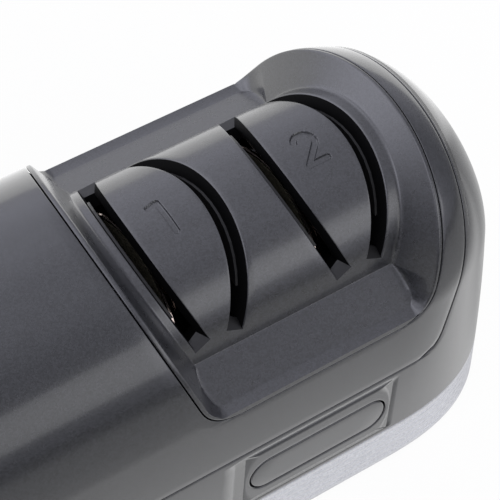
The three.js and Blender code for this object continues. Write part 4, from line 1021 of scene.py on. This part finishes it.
def srgb(code, alpha=1.0):
    """Linear colour of an sRGB hex code."""
    values = [int(code[i:i + 2], 16) / 255 for i in (1, 3, 5)]
    return tuple(v / 12.92 if v <= 0.04045 else ((v + 0.055) / 1.055) ** 2.4 for v in values) + (alpha,)


def add_node(tree, kind, settings=None, numbered=None, **named):
    """Adds a node with its settings, and with a value or a link for each input that is
    given by its number or its name."""
    node = tree.nodes.new(kind)
    for key, value in (settings or {}).items():
        setattr(node, key, value)
    inputs = dict(numbered or {})
    inputs.update((key.replace("_", " "), value) for key, value in named.items())
    for key, value in inputs.items():
        if isinstance(value, bpy.types.NodeSocket):
            tree.links.new(value, node.inputs[key])
        else:
            node.inputs[key].default_value = value
    return node


def new_material(name):
    """Empty material with its node tree."""
    material = bpy.data.materials.new(name)
    material.use_nodes = True
    tree = material.node_tree
    tree.nodes.clear()
    return material, tree


def finish_material(tree, shader):
    """Links a shader to the material's output."""
    add_node(tree, "ShaderNodeOutputMaterial", Surface=shader.outputs[0])


CLOUD_MM = 2.2
CLOUD_SHARE = 0.25
SKIN_CHANGE = 0.01
COAT_ROUGHNESS = 0.12


def flaked_plastic(name, dark, light, roughness, flake_mm, grain, coat, metallic=0.0, level=0.5):
    """Injection-moulded ABS with metal flake in the melt. Each flake is a cell of its own
    tone, which gives the eye a fine sparkle of lighter and darker grains. Real flake of
    about 0.1 mm is too fine to show, so it is drawn as coarse as it shows in the photo. A
    slow noise adds the melt's clouds, and the skin is a little uneven under a clear coat."""
    material, tree = new_material(name)
    place = add_node(tree, "ShaderNodeTexCoord")
    flakes = add_node(tree, "ShaderNodeTexVoronoi", {"feature": "F1"}, Vector=place.outputs["Object"],
                      Scale=1 / (flake_mm * MM))
    cloud = add_node(tree, "ShaderNodeTexNoise", Vector=place.outputs["Object"],
                     Scale=1 / (CLOUD_MM * MM), Detail=4.0)
    tone = add_node(tree, "ShaderNodeSeparateColor", Color=flakes.outputs["Color"])
    spark = add_node(tree, "ShaderNodeMapRange", Value=tone.outputs[0], From_Min=0.0, From_Max=1.0,
                     To_Min=0.5 - grain, To_Max=0.5 + grain)
    shifted = add_node(tree, "ShaderNodeMath", {"operation": "SUBTRACT"},
                       {0: spark.outputs[0], 1: CLOUD_SHARE / 2})
    mixed = add_node(tree, "ShaderNodeMath", {"operation": "MULTIPLY_ADD"},
                     {0: cloud.outputs[0], 1: CLOUD_SHARE, 2: shifted.outputs[0]})
    colour = add_node(tree, "ShaderNodeMix", {"data_type": "RGBA"},
                      {0: mixed.outputs[0], 6: srgb(dark), 7: srgb(light)})
    rough = add_node(tree, "ShaderNodeMapRange", Value=cloud.outputs[0], From_Min=0.3, From_Max=0.7,
                     To_Min=roughness - SKIN_CHANGE, To_Max=roughness + SKIN_CHANGE)
    bump = add_node(tree, "ShaderNodeBump", Height=tone.outputs[1], Strength=0.05, Distance=0.01 * MM)
    shader = add_node(tree, "ShaderNodeBsdfPrincipled", Base_Color=colour.outputs[2],
                      Roughness=rough.outputs[0], Normal=bump.outputs[0], IOR=1.52, Metallic=metallic,
                      Specular_IOR_Level=level, Coat_Weight=coat, Coat_Roughness=COAT_ROUGHNESS)
    finish_material(tree, shader)
    return material


def grained_surface(name, colour, roughness, grain_mm, detail, change, depth, **shading):
    """Even colour with a fine noise in its skin: roughness changes by as much as told
    downwards and upwards, and height by a strength and a depth in millimetres. The grains
    are drawn coarser than the real ones of about 0.1 mm, which are too fine to show."""
    material, tree = new_material(name)
    place = add_node(tree, "ShaderNodeTexCoord")
    skin = add_node(tree, "ShaderNodeTexNoise", Vector=place.outputs["Object"],
                    Scale=1 / (grain_mm * MM), Detail=detail)
    rough = add_node(tree, "ShaderNodeMapRange", Value=skin.outputs[0], From_Min=0.3, From_Max=0.7,
                     To_Min=roughness - change[0], To_Max=roughness + change[1])
    bump = add_node(tree, "ShaderNodeBump", Height=skin.outputs[0], Strength=depth[0],
                    Distance=depth[1] * MM)
    shader = add_node(tree, "ShaderNodeBsdfPrincipled", Base_Color=srgb(colour),
                      Roughness=rough.outputs[0], Normal=bump.outputs[0], **shading)
    finish_material(tree, shader)
    return material


def plain_plastic(name, colour, roughness, level=0.5):
    """Plastic or rubber moulded in a spark-eroded tool: one even colour, and a fine grain
    in the skin that breaks up what it mirrors."""
    return grained_surface(name, colour, roughness, grain_mm=0.5, detail=3.0, change=(0.05, 0.05),
                           depth=(0.12, 0.05), IOR=1.5, Specular_IOR_Level=level)


def turned_metal(name, colour, roughness):
    """Metal turned and polished on a lathe: what the tool leaves is a fine unevenness that
    spreads the glint along the rim instead of leaving it a point."""
    return grained_surface(name, colour, roughness, grain_mm=0.35, detail=2.0, change=(0.06, 0.08),
                           depth=(0.1, 0.02), Metallic=1.0)


def bonded_grit(name, dark, light, grit_mm=0.12):
    """Abrasive grains pressed and fired in a bond: cells of the size of a 120 grit, each of
    its own tone and height, that look rough and dull and hold no highlight."""
    material, tree = new_material(name)
    place = add_node(tree, "ShaderNodeTexCoord")
    grains = add_node(tree, "ShaderNodeTexVoronoi", {"feature": "F1"}, Vector=place.outputs["Object"],
                      Scale=1 / (grit_mm * MM))
    tone = add_node(tree, "ShaderNodeSeparateColor", Color=grains.outputs["Color"])
    colour = add_node(tree, "ShaderNodeMix", {"data_type": "RGBA"},
                      {0: tone.outputs[0], 6: srgb(dark), 7: srgb(light)})
    bump = add_node(tree, "ShaderNodeBump", Height=tone.outputs[1], Strength=0.6, Distance=0.08 * MM)
    shader = add_node(tree, "ShaderNodeBsdfPrincipled", Base_Color=colour.outputs[2], Roughness=0.7,
                      Normal=bump.outputs[0])
    finish_material(tree, shader)
    return material


def dress(pieces):
    """Makes the materials and gives each node and each new piece its own."""
    materials = {
        # Upper and lower housing, badge: ABS with flake and a glossy coat, long clear highlights
        "housing": flaked_plastic("flaked_abs_glossy", "#18191b", "#333438", 0.25, 0.3, 0.35, 1.0),
        # Guide cover: the same ABS from a satin tool, darker, with wide soft highlights
        "cover": flaked_plastic("flaked_abs_satin", "#0e0e10", "#323338", 0.28, 0.3, 0.4, 0.4, level=1.0),
        # Base band: ABS sprayed with aluminium paint, whose fine flake makes a pale grey sheen
        "silver": flaked_plastic("silver_painted_abs", "#b9babd", "#d6d7d9", 0.32, 0.25, 0.4, 0.2, 0.25),
        # Guide plates, switch, inlet, fan: moulded ABS, black with a dull skin. The slots' end ramps are the
        # cover's ABS, drawn in this black as painted shade
        "black_plastic": plain_plastic("black_abs", "#0e0e0f", 0.42),
        # Slots' throats: the same ABS, painted near black and nearly without shine as painted shade, because
        # no room light reaches in there
        "throat": plain_plastic("slot_painted_shade_abs", "#070708", 0.6, level=0.08),
        # Base plate, cradles, tray and runners: ABS from an etched tool, dull dark grey
        "grey_plastic": plain_plastic("grey_abs", "#333437", 0.5),
        # Feet: compression-moulded rubber, black and without shine
        "rubber": plain_plastic("moulded_rubber", "#1a1a1a", 0.75),
        # Grinding wheels: copper alloy turned and polished, a warm bright glint on the rim
        "wheel_metal": turned_metal("turned_copper_alloy", "#dccbc2", 0.14),
        # Abrasive rings: fired grit in its bond, rough and brownish
        "grit": bonded_grit("bonded_abrasive", "#1e1d18", "#5b5645"),
        # Shafts, posts, springs, screws and motor can: drawn and turned steel, cool and bright
        "steel": turned_metal("bright_steel", "#b4b5b8", 0.3),
        # Bushes: pressed and sintered bronze, whose pores make it dull and yellow-brown
        "bronze": turned_metal("sintered_bronze", "#a9824e", 0.45),
        # Circuit board: glass laminate under a green solder mask, smooth and even
        "board": plain_plastic("solder_masked_board", "#1f4a2f", 0.35),
        # Capacitor: dipped in epoxy, which flows to a smooth shiny amber skin
        "amber": plain_plastic("dipped_capacitor", "#b4792a", 0.3),
    }
    slots = {p["node"]: p["material_slot"] for p in frame["record"]["subparts"]}
    for node, obj in frame["nodes"].items():
        obj.data.materials.clear()
        obj.data.materials.append(materials[slots[node]])
    for obj, slot in pieces:
        obj.data.materials.clear()
        obj.data.materials.append(materials[slot])


# Stage: floor, light and camera

# What gloss sees of the paper: (y in metres, brightness), from the front to the back
FLOOR_GLOW = ((-0.6, 0.12), (-0.3, 0.48), (-0.11, 0.46), (-0.09, 0.4), (-0.072, 0.63), (-0.055, 0.96),
              (-0.045, 0.9), (-0.03, 0.5), (0.03, 0.6), (0.05, 1.2))
FLOOR_SIZE = 6.0
FLOOR_GLOW_SHARE = 0.94  # the rest is light that the paper gets from the room, with shadows


def white_floor():
    """White paper, rolled and matt, that shows as an even white with a faint shadow. Gloss
    sees it fall off to the front, where the table ends."""
    mesh = bpy.data.meshes.new("paper_floor")
    corners = [(-FLOOR_SIZE, -FLOOR_SIZE, 0), (FLOOR_SIZE, -FLOOR_SIZE, 0),
               (FLOOR_SIZE, FLOOR_SIZE, 0), (-FLOOR_SIZE, FLOOR_SIZE, 0)]
    mesh.from_pydata(corners, [], [(0, 1, 2, 3)])
    floor = bpy.data.objects.new("paper_floor", mesh)
    bpy.context.scene.collection.objects.link(floor)
    material, tree = new_material("white_paper")
    path = add_node(tree, "ShaderNodeLightPath")
    place = add_node(tree, "ShaderNodeTexCoord")
    split = add_node(tree, "ShaderNodeSeparateXYZ", Vector=place.outputs["Object"])
    front, back = FLOOR_GLOW[0][0], FLOOR_GLOW[-1][0]
    along = add_node(tree, "ShaderNodeMapRange", Value=split.outputs["Y"], From_Min=front, From_Max=back)
    ramp = add_node(tree, "ShaderNodeValToRGB", Fac=along.outputs[0])
    stops = ramp.color_ramp.elements
    for k, (y, glow) in enumerate(FLOOR_GLOW):
        share = (y - front) / (back - front)
        stop = stops[0] if k == 0 else stops[-1] if k == len(FLOOR_GLOW) - 1 else stops.new(share)
        stop.position, stop.color = share, (glow, glow, glow, 1)
    camera_ray, glossy_ray = path.outputs["Is Camera Ray"], path.outputs["Is Glossy Ray"]
    seen = add_node(tree, "ShaderNodeMath", {"operation": "MAXIMUM"}, {0: camera_ray, 1: glossy_ray})
    share = add_node(tree, "ShaderNodeMath", {"operation": "MULTIPLY"},
                     {0: seen.outputs[0], 1: FLOOR_GLOW_SHARE})
    level = add_node(tree, "ShaderNodeMath", {"operation": "MULTIPLY_ADD"},
                     {0: glossy_ray, 1: ramp.outputs[0], 2: camera_ray})
    paper = add_node(tree, "ShaderNodeBsdfDiffuse", Color=srgb("#f7f7f7"))
    glow = add_node(tree, "ShaderNodeEmission", Color=(1, 1, 1, 1), Strength=level.outputs[0])
    mixed = add_node(tree, "ShaderNodeMixShader", None,
                     {0: share.outputs[0], 1: paper.outputs[0], 2: glow.outputs[0]})
    finish_material(tree, mixed)
    mesh.materials.append(material)


# Pale parts of the room that gloss sees: azimuth from the front, elevation, strength
ROOM_LIGHTS = ((40, 14, 0.8), (80, 14, 0.21), (120, 14, 0.54), (160, 14, 0.87), (200, 14, 1.5),
               (240, 14, 1.99), (280, 14, 0.31), (0, 50, 0.21), (60, 50, 0.49), (120, 50, 0.38),
               (180, 50, 1.49), (240, 50, 0.67), (300, 50, 1.78), (0, 90, 0.94))
ROOM_SHARPNESS = 12
GLOSS_COLOUR = "#f0f1ff"
GLOSS_BRIGHTNESS = 0.917  # mean of that colour's linear values


def direction_of(azimuth, elevation):
    """Unit vector to a direction in degrees, with azimuth 0 at the front."""
    a, e = math.radians(azimuth), math.radians(elevation)
    return math.sin(a) * math.cos(e), -math.cos(a) * math.cos(e), math.sin(e)


def set_world():
    """Even fill light, a white background for the camera, and for gloss a dim room with
    soft pale parts: each is the cosine to its direction, raised to a power."""
    world = bpy.data.worlds.new("studio")
    bpy.context.scene.world = world
    world.use_nodes = True
    tree = world.node_tree
    tree.nodes.clear()
    path = add_node(tree, "ShaderNodeLightPath")
    place = add_node(tree, "ShaderNodeTexCoord")
    room = 0.0
    for azimuth, elevation, strength in ROOM_LIGHTS:
        dot = add_node(tree, "ShaderNodeVectorMath", {"operation": "DOT_PRODUCT"},
                       {0: place.outputs["Generated"], 1: direction_of(azimuth, elevation)})
        ahead = add_node(tree, "ShaderNodeMath", {"operation": "MAXIMUM"}, {0: dot.outputs["Value"], 1: 0.0})
        lobe = add_node(tree, "ShaderNodeMath", {"operation": "POWER"},
                        {0: ahead.outputs[0], 1: ROOM_SHARPNESS})
        total = add_node(tree, "ShaderNodeMath", {"operation": "MULTIPLY_ADD"},
                         {0: lobe.outputs[0], 1: strength / GLOSS_BRIGHTNESS, 2: room})
        room = total.outputs[0]
    fill = add_node(tree, "ShaderNodeBackground", Color=srgb("#f8f8ff"), Strength=1.0)
    gloss = add_node(tree, "ShaderNodeBackground", Color=srgb(GLOSS_COLOUR), Strength=room)
    white = add_node(tree, "ShaderNodeBackground", Color=(1, 1, 1, 1), Strength=1.0)
    unseen = add_node(tree, "ShaderNodeMixShader", None,
                      {0: path.outputs["Is Glossy Ray"], 1: fill.outputs[0], 2: gloss.outputs[0]})
    whole = add_node(tree, "ShaderNodeMixShader", None,
                     {0: path.outputs["Is Camera Ray"], 1: unseen.outputs[0], 2: white.outputs[0]})
    add_node(tree, "ShaderNodeOutputWorld", Surface=whole.outputs[0])


LAMP_TARGET = Vector((0.03, 0, 0.06))


def softbox(name, azimuth, elevation, distance, width, height, power):
    """Area lamp that faces the object from a direction."""
    direction = Vector(direction_of(azimuth, elevation))
    lamp = bpy.data.lights.new(name, "AREA")
    lamp.shape = "RECTANGLE"
    lamp.size, lamp.size_y = width, height
    lamp.energy = power
    obj = bpy.data.objects.new(name, lamp)
    obj.location = LAMP_TARGET + direction * distance
    obj.rotation_euler = direction.to_track_quat("Z", "Y").to_euler()
    bpy.context.scene.collection.objects.link(obj)
    return obj


# Camera of the photograph: it looks down from the front left, turned about its axis
CAMERA_AZIMUTH = math.radians(-45.72)
CAMERA_ELEVATION = math.radians(55.97)
CAMERA_ROLL = math.radians(13.88)
CAMERA_DISTANCE = 493.8
CAMERA_TARGET = Vector((45.53, 0, 46.21))
FOCAL_PIXELS = 2206.9
FRAME_PIXELS = 500
SENSOR_MM = 36.0
CLIP_RANGE = (0.05, 50)


def set_camera():
    """Camera at its distance from the target, with the frame turned by the roll."""
    ca, sa = math.cos(CAMERA_AZIMUTH), math.sin(CAMERA_AZIMUTH)
    ce, se = math.cos(CAMERA_ELEVATION), math.sin(CAMERA_ELEVATION)
    back = Vector((sa * ce, -ca * ce, se))
    right = Vector((ca, sa, 0))
    up = back.cross(right)
    cr, sr = math.cos(CAMERA_ROLL), math.sin(CAMERA_ROLL)
    turned_right = right * cr + up * sr
    turned_up = up * cr - right * sr
    place = (CAMERA_TARGET + back * CAMERA_DISTANCE) * MM
    camera = bpy.data.cameras.new("photo_camera")
    camera.sensor_width = SENSOR_MM
    camera.lens = FOCAL_PIXELS * SENSOR_MM / FRAME_PIXELS
    camera.clip_start, camera.clip_end = CLIP_RANGE
    obj = bpy.data.objects.new("photo_camera", camera)
    matrix = Matrix((turned_right, turned_up, back)).transposed().to_4x4()
    matrix.translation = place
    obj.matrix_world = matrix
    bpy.context.scene.collection.objects.link(obj)
    bpy.context.scene.camera = obj


set_camera()
set_world()
white_floor()
softbox("front_softbox", 24, 24, 0.9, 1.1, 0.38, 1.2)
bpy.context.scene.view_settings.view_transform = "Standard"

stage_cover, slot_throats, slot_ramps = make_guide_cover()
dress([
    (make_upper_housing(), "housing"),
    (make_lower_housing(), "housing"),
    (stage_cover, "cover"),
    # Throats: near black, as painted shade
    (slot_throats, "throat"),
    # End ramps: the cover's ABS drawn in black, as painted shade
    (slot_ramps, "black_plastic"),
    (make_base_band(), "silver"),
    (make_badge_plate(), "housing"),
] + make_wheels())
